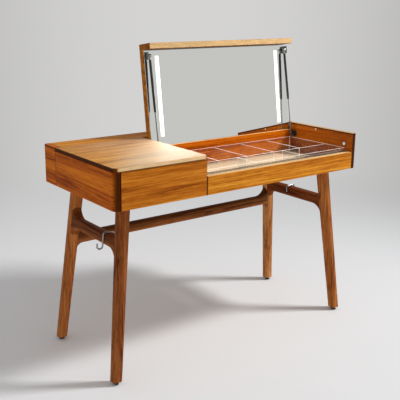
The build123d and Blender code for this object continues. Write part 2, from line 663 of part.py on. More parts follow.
with BuildPart() as tray_rim:
    with BuildSketch(Plane.XY.offset(tray_floor)):
        with Locations(tray_middle):
            Rectangle(*tray_size)
            Rectangle(tray_size[0] - 2 * TRAY_WALL, tray_size[1] - 2 * TRAY_WALL, mode=Mode.SUBTRACT)
    extrude(amount=TRAY_TOP - tray_floor)
save(tray_rim, "tray_rim")

cell_x = (tray_x[0] + TRAY_WALL, tray_x[1] - TRAY_WALL)
cell_y = (tray_y[0] + TRAY_WALL, tray_y[1] - TRAY_WALL)
cross_y = FRONT + TRAY_CROSS_FROM_FRONT
divider_z = (tray_floor, TRAY_TOP - TRAY_DIVIDER_DROP)
with BuildPart() as tray_dividers:
    span_box(cell_x, (cross_y - TRAY_WALL / 2, cross_y + TRAY_WALL / 2), divider_z)
    for cells, y_span in ((TRAY_BACK_CELLS, (cross_y, cell_y[1])), (TRAY_FRONT_CELLS, (cell_y[0], cross_y))):
        for index in range(1, cells):
            divider_x = cell_x[0] + (cell_x[1] - cell_x[0]) * index / cells
            span_box((divider_x - TRAY_WALL / 2, divider_x + TRAY_WALL / 2), y_span, divider_z)
save(tray_dividers, "tray_dividers")

# Light button in its bezel, and clear bumpers for the lid
with BuildPart() as light_button_bezel:
    cross_pin((INNER_RIGHT - BEZEL_FLANGE, INNER_RIGHT), button_y, button_z, BEZEL_DIAMETER)
    fillet(light_button_bezel.faces().sort_by(Axis.X)[0].edges(), BEZEL_FLANGE / 2)
    cross_pin((INNER_RIGHT, bezel_bottom), button_y, button_z, BEZEL_BODY)
    bezel_bore = BUTTON_DIAMETER + 2 * BUTTON_GAP
    bore_x = (INNER_RIGHT - BEZEL_FLANGE, bezel_bottom - BUTTON_GAP)
    cross_pin(bore_x, button_y, button_z, bezel_bore, mode=Mode.SUBTRACT)
save(light_button_bezel, "light_button_bezel")

with BuildPart() as light_button:
    button_face = INNER_RIGHT - BEZEL_FLANGE - BUTTON_PROUD
    button_back = bezel_bottom - 2 * BUTTON_GAP - BUTTON_TRAVEL
    cross_pin((button_face, button_back), button_y, button_z, BUTTON_DIAMETER)
    fillet(light_button.faces().sort_by(Axis.X)[0].edges(), EASE)
save(light_button, "light_button")

with BuildPart() as lid_bumpers:
    bumper_y = FRONT + BUMPER_FROM_FRONT
    bumper_z = TOP_HEIGHT - BUMPER_BELOW_TOP
    cross_pin((INNER_RIGHT - BUMPER_HEIGHT, INNER_RIGHT), bumper_y, bumper_z, BUMPER_DIAMETER)
    rest_y = (BACK_WALL_FRONT + BACK_WALL_BACK) / 2
    for wall, inward in SIDES.values():
        with Locations((wall + inward * REST_INSET, rest_y, BACK_WALL_TOP + BUMPER_HEIGHT / 2)):
            Cylinder(BACK_WALL / 2 - EASE, BUMPER_HEIGHT)
save(lid_bumpers, "lid_bumpers")

# Drawer: an overlay front on a box between ball runners
with BuildPart() as drawer_front:
    front_x = (INNER_LEFT + DRAWER_LEFT_GAP, SEAM - DRAWER_GAP)
    span_box(front_x, (FRONT, DRAWER_START), (CASE_BOTTOM, PANEL_TOP))
    fillet(drawer_front.faces().sort_by(Axis.Y)[0].edges(), EASE)
save(drawer_front, "drawer_front")

box_x = (INNER_LEFT + RUNNER_WIDTH, DIVIDER_LEFT - RUNNER_WIDTH)
box_y = (DRAWER_START, SPINE - DRAWER_BACK_GAP)
box_z = (FLOOR + DRAWER_BOX_LIFT, TONGUE_LOW - DRAWER_TOP_GAP)
floor_z = (box_z[0] + DRAWER_FLOOR_LIFT, box_z[0] + DRAWER_FLOOR_LIFT + DRAWER_FLOOR)
floor_x = (box_x[0] + DRAWER_SIDE - DRAWER_GROOVE, box_x[1] - DRAWER_SIDE + DRAWER_GROOVE)
floor_y = (DRAWER_START, box_y[1] - DRAWER_SIDE)
for side, outside, inward in (("left", box_x[0], 1), ("right", box_x[1], -1)):
    with BuildPart() as drawer_side:
        span_box(ordered(outside, outside + inward * DRAWER_SIDE), box_y, box_z)
        span_box(floor_x, floor_y, floor_z, mode=Mode.SUBTRACT)
    save(drawer_side, f"drawer_side_{side}")

inside_x = (box_x[0] + DRAWER_SIDE, box_x[1] - DRAWER_SIDE)
with BuildPart() as drawer_back:
    span_box(inside_x, (box_y[1] - DRAWER_SIDE, box_y[1]), box_z)
save(drawer_back, "drawer_back")

with BuildPart() as drawer_bottom:
    span_box(floor_x, floor_y, floor_z)
save(drawer_bottom, "drawer_bottom")

# Ball runners: three nested channels, opening towards each other
runner_y = (INNER_FRONT + RUNNER_SETBACK, box_y[1] - RUNNER_BACK_GAP)


def channel(web, lip, height):
    """A C section along Y, from its web's outside to its lips, centred on the runner's height."""
    half = height / 2
    span_box(ordered(web, lip), runner_y, (RUNNER_Z - half, RUNNER_Z + half))
    inner_half = half - RUNNER_SHEET
    step = RUNNER_SHEET if lip > web else -RUNNER_SHEET
    hollow_z = (RUNNER_Z - inner_half, RUNNER_Z + inner_half)
    span_box(ordered(web + step, lip), runner_y, hollow_z, mode=Mode.SUBTRACT)


nest = RUNNER_SHEET + RUNNER_GAP
for side, wall, inward in (("left", INNER_LEFT, 1), ("right", DIVIDER_LEFT, -1)):
    drawer_face = wall + inward * RUNNER_WIDTH
    with BuildPart() as runner_outer:
        channel(wall, drawer_face - inward * nest, RUNNER_HEIGHT)
    save(runner_outer, f"runner_outer_{side}")
    with BuildPart() as runner_middle:
        channel(wall + inward * nest, drawer_face - inward * nest, RUNNER_HEIGHT - 2 * nest)
    save(runner_middle, f"runner_middle_{side}")
    with BuildPart() as runner_inner:
        channel(drawer_face, wall + 2 * inward * nest, RUNNER_HEIGHT - 4 * nest)
    save(runner_inner, f"runner_inner_{side}")

# Bag hooks: one bent rod over each side rail, with its curl on the outside
hook_side = SIDE_RAIL_WIDTH / 2 + HOOK_GAP + HOOK_WIRE / 2
hook_top = SIDE_RAIL_HEIGHT / 2 + HOOK_GAP + HOOK_WIRE / 2
hook_low = hook_top - HOOK_DROP
hook_route = [
    (-hook_side, hook_top - HOOK_INNER_DROP),
    (-hook_side, hook_top),
    (hook_side, hook_top),
    (hook_side, hook_low),
    (hook_side + HOOK_CURL, hook_low),
    (hook_side + HOOK_CURL, hook_low + HOOK_CURL / 2 + HOOK_TIP),
]
curl_radius = HOOK_CURL / 2 - HOOK_GAP
for side, x_sign, hook_y in (("left", -1, HOOK_LEFT_Y), ("right", 1, HOOK_RIGHT_Y)):
    spot = (x_sign * SIDE_RAIL_SPOT, hook_y, SIDE_RAIL_Z)
    outward = (x_sign, 0, SPLAY[0])
    with BuildPart() as hook:
        with BuildLine(Plane(origin=spot, x_dir=outward, z_dir=(0, -x_sign, 0))) as wire:
            FilletPolyline(*hook_route, radius=[HOOK_BEND, HOOK_BEND, curl_radius, curl_radius])
        start = wire.wires()[0]
        with BuildSketch(Plane(origin=start @ 0, z_dir=start % 0)):
            Circle(HOOK_WIRE / 2)
        sweep()
    save(hook, f"hook_{side}")

open_turn = degrees(atan2(STRUT_RISE, STRUT_RUN))
closed_turn = degrees(atan2(CLOSED_RISE, CLOSED_RUN)) % 360
print("strut turn per lid turn", (closed_turn - open_turn) / LID_OPEN)
print("strut travel per lid radian", (STRUT_SHORT - STRUT_LONG) / 1000 / radians(LID_OPEN))
print("strut foot", STRUT_FOOT_Y, STRUT_FOOT_Z, "direction", STRUT_RUN / STRUT_LONG, STRUT_RISE / STRUT_LONG)
print("pivot", PIVOT_Y, PIVOT_Z)
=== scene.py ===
"""Looks of a vanity table with a lifting mirror lid: finishes, fittings, floor, light and camera.

Lengths are in metres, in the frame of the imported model: +Z is up and the front looks along -Y.
"""
import json
from math import cos, pi, radians, sin

import bmesh
import bpy
from bpy.props import FloatProperty, FloatVectorProperty, IntProperty, PointerProperty
from bpy.types import Operator, Panel, PropertyGroup
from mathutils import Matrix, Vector

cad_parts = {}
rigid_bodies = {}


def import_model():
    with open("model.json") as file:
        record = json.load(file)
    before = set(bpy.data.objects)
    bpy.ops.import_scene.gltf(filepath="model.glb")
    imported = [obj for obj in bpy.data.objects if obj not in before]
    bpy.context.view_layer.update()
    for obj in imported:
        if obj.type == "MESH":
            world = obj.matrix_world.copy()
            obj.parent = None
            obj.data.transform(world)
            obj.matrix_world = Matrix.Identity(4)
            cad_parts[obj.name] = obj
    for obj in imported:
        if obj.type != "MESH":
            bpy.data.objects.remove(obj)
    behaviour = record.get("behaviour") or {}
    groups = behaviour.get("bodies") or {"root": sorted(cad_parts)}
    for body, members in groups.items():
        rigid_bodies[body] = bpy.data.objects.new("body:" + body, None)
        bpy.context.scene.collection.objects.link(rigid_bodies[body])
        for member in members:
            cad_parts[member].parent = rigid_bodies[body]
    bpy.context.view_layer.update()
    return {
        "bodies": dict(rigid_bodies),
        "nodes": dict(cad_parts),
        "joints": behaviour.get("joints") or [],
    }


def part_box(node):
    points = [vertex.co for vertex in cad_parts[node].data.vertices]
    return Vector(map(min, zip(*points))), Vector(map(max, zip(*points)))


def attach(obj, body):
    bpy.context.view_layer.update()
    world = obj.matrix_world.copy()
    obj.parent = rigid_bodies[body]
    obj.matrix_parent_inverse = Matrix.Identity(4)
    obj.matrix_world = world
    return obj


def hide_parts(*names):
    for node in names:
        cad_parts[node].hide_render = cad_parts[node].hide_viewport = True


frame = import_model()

bl_info = {
    "name": "Vanity Table Looks",
    "version": (1, 0, 0),
    "blender": (4, 5, 0),
    "location": "3D View > Sidebar > Vanity",
    "description": "Finishes, fittings and a studio floor for a vanity table with a lifting mirror lid",
    "category": "Object",
}

NODES = frame["nodes"]
JOINTS = {joint["name"]: joint for joint in frame["joints"]}
X, Y, Z = range(3)
LID_PIVOT = Vector(JOINTS["lid_hinge"]["pos_m"])
LID_LEAN = radians(JOINTS["lid_hinge"]["range_deg"][1])
LID_FACE = Vector((0, -sin(LID_LEAN), -cos(LID_LEAN)))
LID_UP = Vector((0, -cos(LID_LEAN), sin(LID_LEAN)))
MM = 0.001
SIDES = ("left", "right")

# Kinds of settings, by their limits and how they are shown. Colours are in linear light.
COLOUR = {"min": 0.0, "max": 1.0, "subtype": "COLOR"}
LENGTH = {"min": 0.0, "precision": 5, "subtype": "DISTANCE", "unit": "LENGTH"}
SHARE = {"min": 0.0, "max": 1.0, "subtype": "FACTOR"}
POWER = {"min": 0.0, "unit": "POWER"}
ANGLE = {"subtype": "ANGLE", "unit": "ROTATION"}
PLACE = {"subtype": "TRANSLATION", "unit": "LENGTH"}
DIRECTION = {"subtype": "DIRECTION"}
AMOUNT = {"min": 0.0}
SHIFT = {"size": 2}


def setting(kind, name, value, words):
    """A number, or a tuple of numbers, that a user may change."""
    made = FloatVectorProperty if isinstance(value, tuple) else FloatProperty
    return made(name=name, description=words, default=value, **kind)


class WoodSettings(PropertyGroup):
    """Colours and grain of the oiled teak and the inner boards."""

    # Painted highlights: pale tones on the lid band's front edge, the upper edges round the tray and the
    # fixed top's front edge.
    edge_highlight: setting(COLOUR, "Pale edge", (0.80, 0.52, 0.24), "Pale edges of the lid and round the tray")
    top_front_highlight: setting(COLOUR, "Top front edge", (0.88, 0.50, 0.19), "Pale front edge of the fixed top")
    # Painted shade on the underside of the lid's band.
    edge_shaded: setting(COLOUR, "Band underside", (0.15, 0.085, 0.04), "Dull underside of the lid's band")
    streak_width: setting(LENGTH, "Streak width", 0.036, "Width of the slow colour streaks")
    vein_width: setting(LENGTH, "Vein width", 0.024, "Distance between the thin dark veins")
    pore_depth: setting(LENGTH, "Pore depth", 0.00025, "Depth of the open pores")
    # Tone of the painted glare over the front of the fixed top.
    top_glare: setting(COLOUR, "Top pale", (0.92, 0.74, 0.48), "Tone of the fixed top where it bleaches")
    top_sheen: setting(SHARE, "Top sheen", 0.8, "Weight of the lacquer on the fixed top")


TONES = ("dark", "mid", "light")
WOOD_TONES = {
    "case": ("the case boards", (0.26, 0.052, 0.003), (0.56, 0.165, 0.010), (0.78, 0.300, 0.030)),
    "base": ("the legs and rails", (0.11, 0.026, 0.005), (0.33, 0.105, 0.026), (0.52, 0.200, 0.060)),
    "inner": ("the inner boards", (0.40, 0.17, 0.05), (0.62, 0.34, 0.13), (0.76, 0.49, 0.24)),
    "floor": ("the tray's floor", (0.54, 0.35, 0.17), (0.69, 0.50, 0.31), (0.76, 0.60, 0.43)),
}
WoodSettings.__annotations__.update({
    f"{kind}_{tone}": setting(COLOUR, f"{kind} {tone}".capitalize(), colour, f"The {tone} streaks of {words}")
    for kind, (words, *colours) in WOOD_TONES.items()
    for tone, colour in zip(TONES, colours)
})


class FittingSettings(PropertyGroup):
    """Light strips, clear sheet and metal fittings."""

    strip_glow: setting(AMOUNT, "Strip glow", 1.06, "Strength of the lit strips")
    strip_power: setting(POWER, "Strip power", 0.98, "Power that a full strip sheds")
    strip_spread: setting(LENGTH, "Strip spread", 0.18, "Width over which a strip and its image shed light")
    strip_tint: setting(COLOUR, "Strip tint", (1.0, 0.985, 0.95), "Colour of the lit strips")
    sheet_alpha: setting(SHARE, "Sheet haze", 0.018, "How much a clear sheet hides")
    edge_alpha: setting(SHARE, "Edge haze", 0.90, "How much a polished edge hides")
    # Painted glow: the polished edges give off light though they are no lamp.
    edge_painted_glow: setting(SHARE, "Edge glow", 0.22, "Light that a polished edge gives back")
    floor_sheen: setting(SHARE, "Floor sheen", 0.22, "Weight of the gloss on the tray's floor")
    sheet_ease: setting(LENGTH, "Sheet ease", 0.0005, "Bevel along the polished edges of the tray")
    weld_width: setting(LENGTH, "Weld width", 0.0012, "Width of the clear welds of the tray")
    mirror_tint: setting(COLOUR, "Mirror tint", (0.895, 0.91, 0.875), "Colour of the silvered glass")
    screw_diameter: setting(LENGTH, "Screw head", 0.0048, "Diameter of the small screw heads")
    screw_height: setting(LENGTH, "Screw height", 0.0012, "Height of the small screw heads")
    screw_slot: setting(LENGTH, "Screw slot", 0.0008, "Width of the cross slots")
    screw_seed: IntProperty(name="Screw seed", description="Seed for how far each screw is turned", default=7)


class StageSettings(PropertyGroup):
    """Floor, light and camera of the studio."""

    floor_tint: setting(COLOUR, "Floor", (0.86, 0.87, 0.88), "Colour of the floor near the table")
    floor_size: setting(LENGTH, "Floor size", 900.0, "Side of the square floor")
    floor_near: setting(LENGTH, "Floor near", 1.15, "Where the floor starts to fade into the room")
    floor_far: setting(LENGTH, "Floor far", 3.2, "Where the floor has faded into the room")
    room_tint: setting(COLOUR, "Room", (0.615, 0.61, 0.605), "Colour of the room at eye level")
    room_top: setting(COLOUR, "Room top", (0.34, 0.34, 0.345), "Colour of the room overhead")
    key_power: setting(POWER, "Key power", 102.0, "Power of the key light")
    key_size: setting(LENGTH, "Key size", 0.56, "Side of the square key light")
    key_distance: setting(LENGTH, "Key distance", 3.5, "Distance of the key light from the table")
    key_towards: setting(DIRECTION, "Key direction", (0.630, -0.394, 0.669), "From the table to the light")
    camera_place: setting(PLACE, "Camera place", (-1.65543, -2.10489, 1.27364), "Where the camera stands")
    camera_yaw: setting(ANGLE, "Camera yaw", 0.6061, "Turn from +Y towards +X")
    camera_pitch: setting(ANGLE, "Camera pitch", 0.2454, "Downward tilt")
    camera_lens: setting(AMOUNT, "Lens", 62.65, "Focal length on a 36 mm frame, in millimetres")
    camera_shift: setting(SHIFT, "Frame shift", (0.0872, -0.0452), "Shift, as a share of the frame's side")


def forward(operation):
    """An operator of a wire that comes first."""
    return lambda wire, other: wire.math(operation, wire, other)


def reflected(operation):
    """The same operator with the wire second, as in 1 - mask."""
    return lambda wire, other: wire.math(operation, other, wire)


class Wire:
    """A value socket that takes part in Python arithmetic, each step as one Math node."""

    __add__, __radd__ = forward("ADD"), reflected("ADD")
    __sub__, __rsub__ = forward("SUBTRACT"), reflected("SUBTRACT")
    __mul__, __rmul__ = forward("MULTIPLY"), reflected("MULTIPLY")
    __truediv__, __rtruediv__ = forward("DIVIDE"), reflected("DIVIDE")
    least, most = forward("MINIMUM"), forward("MAXIMUM")

    def __init__(self, finish, socket):
        self.finish = finish
        self.socket = socket

    def math(self, operation, *values):
        sockets = dict(enumerate(values))
        return self.finish.node("ShaderNodeMath", {"operation": operation}, sockets)

    def __abs__(self):
        return self.math("ABSOLUTE", self)

    def sine(self):
        return self.math("SINE", self)

    def root(self):
        return self.math("SQRT", self)

    def ramp(self, low, high):
        """0 below low, 1 above high, smooth between."""
        sockets = {"Value": self, "From Min": low, "From Max": high, "To Min": 0.0, "To Max": 1.0}
        return self.finish.node("ShaderNodeMapRange", {"interpolation_type": "SMOOTHSTEP"}, sockets)


# Places of sockets that share a name on the Mix and Random Value nodes.
MIX_SHARE, MIX_FIRST, MIX_SECOND, MIX_RESULT = 0, 6, 7, 2
RANDOM_LOW, RANDOM_HIGH, RANDOM_NUMBER = 2, 3, 1


class NodeTree:
    """A node tree being made, with one method for every kind of node."""

    def __init__(self, tree):
        self.tree = tree
        self.tree.nodes.clear()

    def node(self, kind, settings=None, sockets=None, output=0):
        """Add a node: settings first, then socket values or links; the chosen output comes back."""
        made = self.tree.nodes.new(kind)
        for key, value in (settings or {}).items():
            if key == "stops":
                self.set_stops(made.color_ramp, value)
            else:
                setattr(made, key, value)
        for key, value in (sockets or {}).items():
            parts = value if isinstance(value, list) else [value]
            for part in parts:
                if isinstance(part, Wire):
                    self.tree.links.new(part.socket, made.inputs[key])
                else:
                    made.inputs[key].default_value = part
        return Wire(self, made.outputs[output]) if made.outputs else None

    @staticmethod
    def set_stops(ramp, stops):
        while len(ramp.elements) < len(stops):
            ramp.elements.new(0.5)
        for element, (place, colour) in zip(ramp.elements, stops):
            element.position = place
            element.color = (*colour, 1.0)

    def mix(self, share, first, second, blend="MIX"):
        """Mix two colours, given as links or as three numbers."""
        first, second = [v if isinstance(v, Wire) else (*v, 1.0) for v in (first, second)]
        settings = {"data_type": "RGBA", "blend_type": blend}
        sockets = {MIX_SHARE: share, MIX_FIRST: first, MIX_SECOND: second}
        return self.node("ShaderNodeMix", settings, sockets, MIX_RESULT)

    def join(self, x, y, z):
        return self.node("ShaderNodeCombineXYZ", None, {0: x, 1: y, 2: z})

    def split(self, spot):
        return [self.node("ShaderNodeSeparateXYZ", None, {0: spot}, axis) for axis in range(3)]


class Finish(NodeTree):
    """A material being made."""

    def __init__(self, name):
        self.material = bpy.data.materials.new(name)
        self.material.use_nodes = True
        super().__init__(self.material.node_tree)

    def place(self):
        """X, Y and Z of the surface in the frame of the table."""
        return self.split(self.node("ShaderNodeTexCoord", output="Object"))

    def facing(self, direction):
        """How far the surface faces a direction, from -1 to 1."""
        normal = self.node("ShaderNodeTexCoord", output="Normal")
        sockets = {0: normal, 1: tuple(direction)}
        return self.node("ShaderNodeVectorMath", {"operation": "DOT_PRODUCT"}, sockets, "Value")

    def noise(self, spot, detail, roughness=0.55):
        sockets = {"Vector": spot, "Scale": 1.0, "Detail": detail, "Roughness": roughness}
        return self.node("ShaderNodeTexNoise", None, sockets)

    def cloud(self, places, scales, detail):
        """Noise with a scale of its own along each of three places, in marks per metre."""
        return self.noise(self.join(*[place * scale for place, scale in zip(places, scales)]), detail)

    def tones(self, value, *stops):
        return self.node("ShaderNodeValToRGB", {"stops": stops}, {0: value})

    def bump(self, height, distance, strength, normal=None):
        sockets = {"Height": height, "Distance": distance, "Strength": strength}
        if normal:
            sockets["Normal"] = normal
        return self.node("ShaderNodeBump", None, sockets)

    def rounded(self, places, core):
        """Normals of a round bar about a core, given as its lower and upper end."""
        low, high = core
        rise = (places[Z] - low.z) * (1.0 / (high.z - low.z))
        out = [places[i] - rise * (high[i] - low[i]) - low[i] for i in (X, Y)]
        return self.node("ShaderNodeVectorMath", {"operation": "NORMALIZE"}, {0: self.join(*out, 0.0)})

    def surface(self, **sockets):
        """Close the material with one shader; sockets are named with _ for a space."""
        named = {key.replace("_", " "): value for key, value in sockets.items()}
        shader = self.node("ShaderNodeBsdfPrincipled", None, named)
        self.node("ShaderNodeOutputMaterial", None, {"Surface": shader})
        return self.material


SCATTER_STEPS = (0.6180, 0.7548, 0.5698)
SCATTER_REACH = 7.0
# Marks of the grain: length and width in metres, then the detail and roughness of their noise.
WANDER = (0.7, 0.16, 2.0, 0.55)
VEIN_PATCHES = (0.45, 0.05, 1.0, 0.55)
LINES = (0.30, 0.0055, 2.0, 0.6)
FLECKS = (0.042, 0.0036, 2.0, 0.6)
FIBRES = (0.11, 0.0016, 2.0, 0.7)
PORES = (0.024, 0.0007, 1.0, 0.55)
WANDER_REACH = 0.05
STREAK_STRETCH = 1.1
VEIN_STRETCH = 0.9
VEIN_THINNESS = 16.0
STREAK_SHARE, LINE_SHARE, FLECK_SHARE, FIBRE_SHARE, VEIN_SHARE = 1.15, 0.75, 0.55, 0.25, 0.34
MIDDLE_TONE = 0.52
END_SCALES = (90.0, 700.0, 700.0)
END_STOPS = ((0.30, 0.14), (0.70, 0.40))
# Edges turn paler over this width: partly wear, partly a painted highlight along the edges.
EDGE_LIGHT_WIDTH = 3.0 * MM
EDGE_WEAR_AND_SHEEN = 0.22
# How squarely a surface faces a direction, from none to all of a tone.
FACE_EDGE = (0.90, 0.97)
UP_EDGE = (0.6, 0.95)
# Lines of painted shade in gaps and under top edges: their strength, and the share of the dark tone that they
# and the rails' painted shade darken to.
SHADE_LINE_STRENGTH = 0.85
PAINTED_SHADE_TONE = 0.2
# Where the lacquer's shine rises along a board, as shares of its width, and its least share.
POLISH_FROM, POLISH_TO, POLISH_LEAST = -0.05, 0.6, 0.2


def scatter(number):
    """A steady spread of offsets for a board's number, in metres."""
    return [((number * step) % 1.0) * SCATTER_REACH for step in SCATTER_STEPS]


def unit(axis):
    """The direction of one axis."""
    return tuple(float(i == axis) for i in range(3))


def edge_nearness(places, box, width):
    """1 along the edges of a board's box, falling to 0 a little way in."""
    low, high = box
    reach = [(place - low[i]).least(high[i] - place) for i, place in enumerate(places)]
    second = reach[0].least(reach[1]).most(reach[0].most(reach[1]).least(reach[2]))
    return 1.0 - second.ramp(0.0, width)


def wood(
    name, node, along, shades, number, contrast=1.0, faces=(), coat=0.0, end_share=1.0,
    shade_lines=(), shade=None, pale=None, core=None,
):
    """Oiled wood with slow streaks, thin veins, flecks, pores and dark end grain, along one axis.

    faces: (direction, tone) of each surface with a tone of its own, used for painted highlights on edges and
    painted shade under the lid's band
    shade_lines: (axis, place, width) of each line of painted shade in a gap or under an edge
    shade: (low, high, strength), painted shade that darkens with height
    glare: (low, high, share, tone), a painted highlight that grows with rising x - y
    core: lower and upper end of the middle of a bar that is shaded round
    """
    settings = bpy.context.scene.vanity_wood
    dark, mid, light = shades
    # Dark tone of the painted shade in gaps and on the rails.
    deep = [c * PAINTED_SHADE_TONE for c in dark]
    finish = Finish(name)
    places = finish.place()
    shift = scatter(number)
    length = places[along]
    across = [places[i] for i in range(3) if i != along]

    def marks(kind, offset):
        """Noise that is drawn out along the grain."""
        run, width, detail, roughness = kind
        sides = [place * (1.0 / width) for place in across]
        spot = finish.join(length * (1.0 / run) + offset, sides[0] + shift[1], sides[1])
        return finish.noise(spot, detail, roughness)

    def facing_up():
        return finish.facing(unit(Z)).ramp(*UP_EDGE)

    wander = marks(WANDER, shift[2]) - 0.5
    bowed = [place + wander * WANDER_REACH for place in across]
    streak_spot = [place * (1.0 / settings.streak_width) for place in bowed]
    streak = finish.noise(finish.join(length * STREAK_STRETCH + shift[0], *streak_spot), 3.0, 0.6)
    first, second = [place * (1.0 / settings.vein_width) for place in bowed]
    vein_spot = finish.join(length * VEIN_STRETCH + shift[1], first + shift[0], second)
    vein_middle = abs(finish.noise(vein_spot, 1.0, 0.4) - 0.5)
    vein = (1.0 - vein_middle * VEIN_THINNESS).ramp(0.1, 1.0) * marks(VEIN_PATCHES, shift[0]).ramp(0.42, 0.66)
    line = marks(LINES, shift[1])
    fleck = marks(FLECKS, shift[0])
    fibre = marks(FIBRES, shift[2])
    pores = marks(PORES, shift[0]).ramp(0.60, 0.72)
    slow = (streak - 0.5) * (STREAK_SHARE * contrast) + (line - 0.5) * (LINE_SHARE * contrast)
    fine = (fleck - 0.5) * FLECK_SHARE + (fibre - 0.5) * FIBRE_SHARE
    tone = slow + fine - vein * (VEIN_SHARE * contrast) + MIDDLE_TONE
    body = finish.tones(tone, (0.15, dark), (0.50, mid), (0.85, light))
    # Painted highlights and painted shade on faces that look one way.
    for direction, face_tone in faces:
        speckle = finish.mix(fleck.ramp(0.35, 0.70), [c * 0.76 for c in face_tone], face_tone)
        body = finish.mix(finish.facing(direction).ramp(*FACE_EDGE), body, speckle)
    porous = finish.mix(pores * 0.40, body, [c * 0.45 for c in dark])
    end = abs(finish.facing(unit(along))).ramp(0.05, 1.0) * end_share
    end_stops = [(place, [c * share for c in settings.case_dark]) for place, share in END_STOPS]
    end_body = finish.tones(finish.cloud((length, *across), END_SCALES, 2.0), *end_stops)
    # Edges lighten towards the light tone: wear and a painted highlight.
    wear_and_sheen = edge_nearness(places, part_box(node), EDGE_LIGHT_WIDTH) * (1.0 - end) * EDGE_WEAR_AND_SHEEN
    colour = finish.mix(wear_and_sheen, finish.mix(end, porous, end_body), light)
    # Painted highlight: faces that look up or forward turn paler with rising x - y.
    if pale:
        low, high, share, glare_tone = pale
        seen = facing_up().most(finish.facing((0.0, -1.0, 0.0)).ramp(*FACE_EDGE))
        glare_share = (places[X] - places[Y]).ramp(low, high) * seen * share
        colour = finish.mix(glare_share, colour, glare_tone)
    # Lines of painted shade in the gaps between boards and under top edges.
    for axis, place, width in shade_lines:
        beside = 1.0 - abs(finish.facing(unit(axis))).ramp(0.3, 0.7)
        near = 1.0 - abs(places[axis] - place).ramp(width * 0.5, width)
        colour = finish.mix(near * beside * SHADE_LINE_STRENGTH, colour, deep)
    # Painted shade that darkens with height.
    if shade:
        low, high, strength = shade
        colour = finish.mix(places[Z].ramp(low, high) * strength, colour, deep)
    coat_weight = 0.0
    if coat:
        start, stop = [corner.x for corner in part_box(node)]
        reach = stop - start
        rise = places[X].ramp(start + reach * POLISH_FROM, start + reach * POLISH_TO)
        coat_weight = facing_up() * (rise * (coat * (1.0 - POLISH_LEAST)) + coat * POLISH_LEAST)
    normal = finish.rounded(places, core) if core else None
    return finish.surface(
        Base_Color=colour,
        Roughness=0.44 + fibre * 0.16 + pores * 0.12,
        Normal=finish.bump(fibre * 0.5 - pores, settings.pore_depth, 0.35, normal),
        Specular_IOR_Level=0.05,
        Coat_Weight=coat_weight,
        Coat_Roughness=0.95,
        Coat_IOR=2.4,
    )


# Noise scales of the plain finishes, in marks per metre.
BRUSH_ACROSS, BRUSH_ALONG = 1800.0, 25.0
TARNISH = (60.0,) * 3
HANDLING = (45.0,) * 3
MOULD_GRAIN = (1600.0,) * 3
MOULD_TONE = (30.0,) * 3
WIPING = (7.0, 40.0, 16.0)
RUBBING = (120.0,) * 3
BRUSH_DEPTH = 0.04 * MM
LAMP_PITCH = 12.0 * MM
ACRYLIC_IOR = 1.49


def brushed_metal(name, tint, along, roughness=0.32):
    """Plated or brushed metal with fine lines along one axis."""
    finish = Finish(name)
    places = finish.place()
    scales = [BRUSH_ALONG if i == along else BRUSH_ACROSS for i in range(3)]
    lines = finish.cloud(places, scales, 2.0)
    cloud = finish.cloud(places, TARNISH, 3.0)
    colour = finish.mix(cloud.ramp(0.35, 0.75), [c * 0.82 for c in tint], tint)
    return finish.surface(
        Base_Color=colour,
        Metallic=1.0,
        Roughness=lines * 0.16 + (roughness - 0.08),
        Normal=finish.bump(lines, BRUSH_DEPTH, 0.3),
    )


def bright_metal(name, tint, roughness):
    """Polished chrome with faint handling marks."""
    finish = Finish(name)
    cloud = finish.cloud(finish.place(), HANDLING, 4.0)
    colour = finish.mix(cloud.ramp(0.4, 0.8), [c * 0.9 for c in tint], tint)
    return finish.surface(Base_Color=colour, Metallic=1.0, Roughness=cloud.ramp(0.45, 0.9) * 0.10 + roughness)


def moulded(name, tint, roughness, grain=0.06 * MM, spread=0.25):
    """Moulded or painted surface with a fine grain and a slow change of tone."""
    finish = Finish(name)
    places = finish.place()
    fine = finish.cloud(places, MOULD_GRAIN, 2.0)
    slow = finish.cloud(places, MOULD_TONE, 3.0)
    colour = finish.mix(slow.ramp(0.3, 0.7), [c * (1.0 - spread) for c in tint], tint)
    return finish.surface(
        Base_Color=colour,
        Roughness=fine * 0.14 + (roughness - 0.07),
        Normal=finish.bump(fine, grain, 0.5),
        Specular_IOR_Level=0.4,
    )


def silvered_glass(name):
    """Mirror: clean silver with faint wiping marks."""
    finish = Finish(name)
    marks = finish.cloud(finish.place(), WIPING, 4.0)
    tint = bpy.context.scene.vanity_fittings.mirror_tint
    colour = finish.mix(marks.ramp(0.45, 0.85), tint, [c * 0.985 for c in tint])
    return finish.surface(Base_Color=colour, Metallic=1.0, Roughness=marks.ramp(0.5, 0.9) * 0.015 + 0.004)


def lit_cover(name):
    """Milky cover over the lamps, a little brighter above each lamp."""
    settings = bpy.context.scene.vanity_fittings
    finish = Finish(name)
    pulse = (finish.place()[Z] * (2 * pi / LAMP_PITCH)).sine() * 0.5 + 0.5
    tint = settings.strip_tint
    glow = finish.mix(pulse * 0.4, tint, [c * 0.93 for c in tint])
    return finish.surface(
        Base_Color=(0.9, 0.9, 0.88, 1.0),
        Roughness=0.35,
        Emission_Color=glow,
        Emission_Strength=settings.strip_glow,
    )


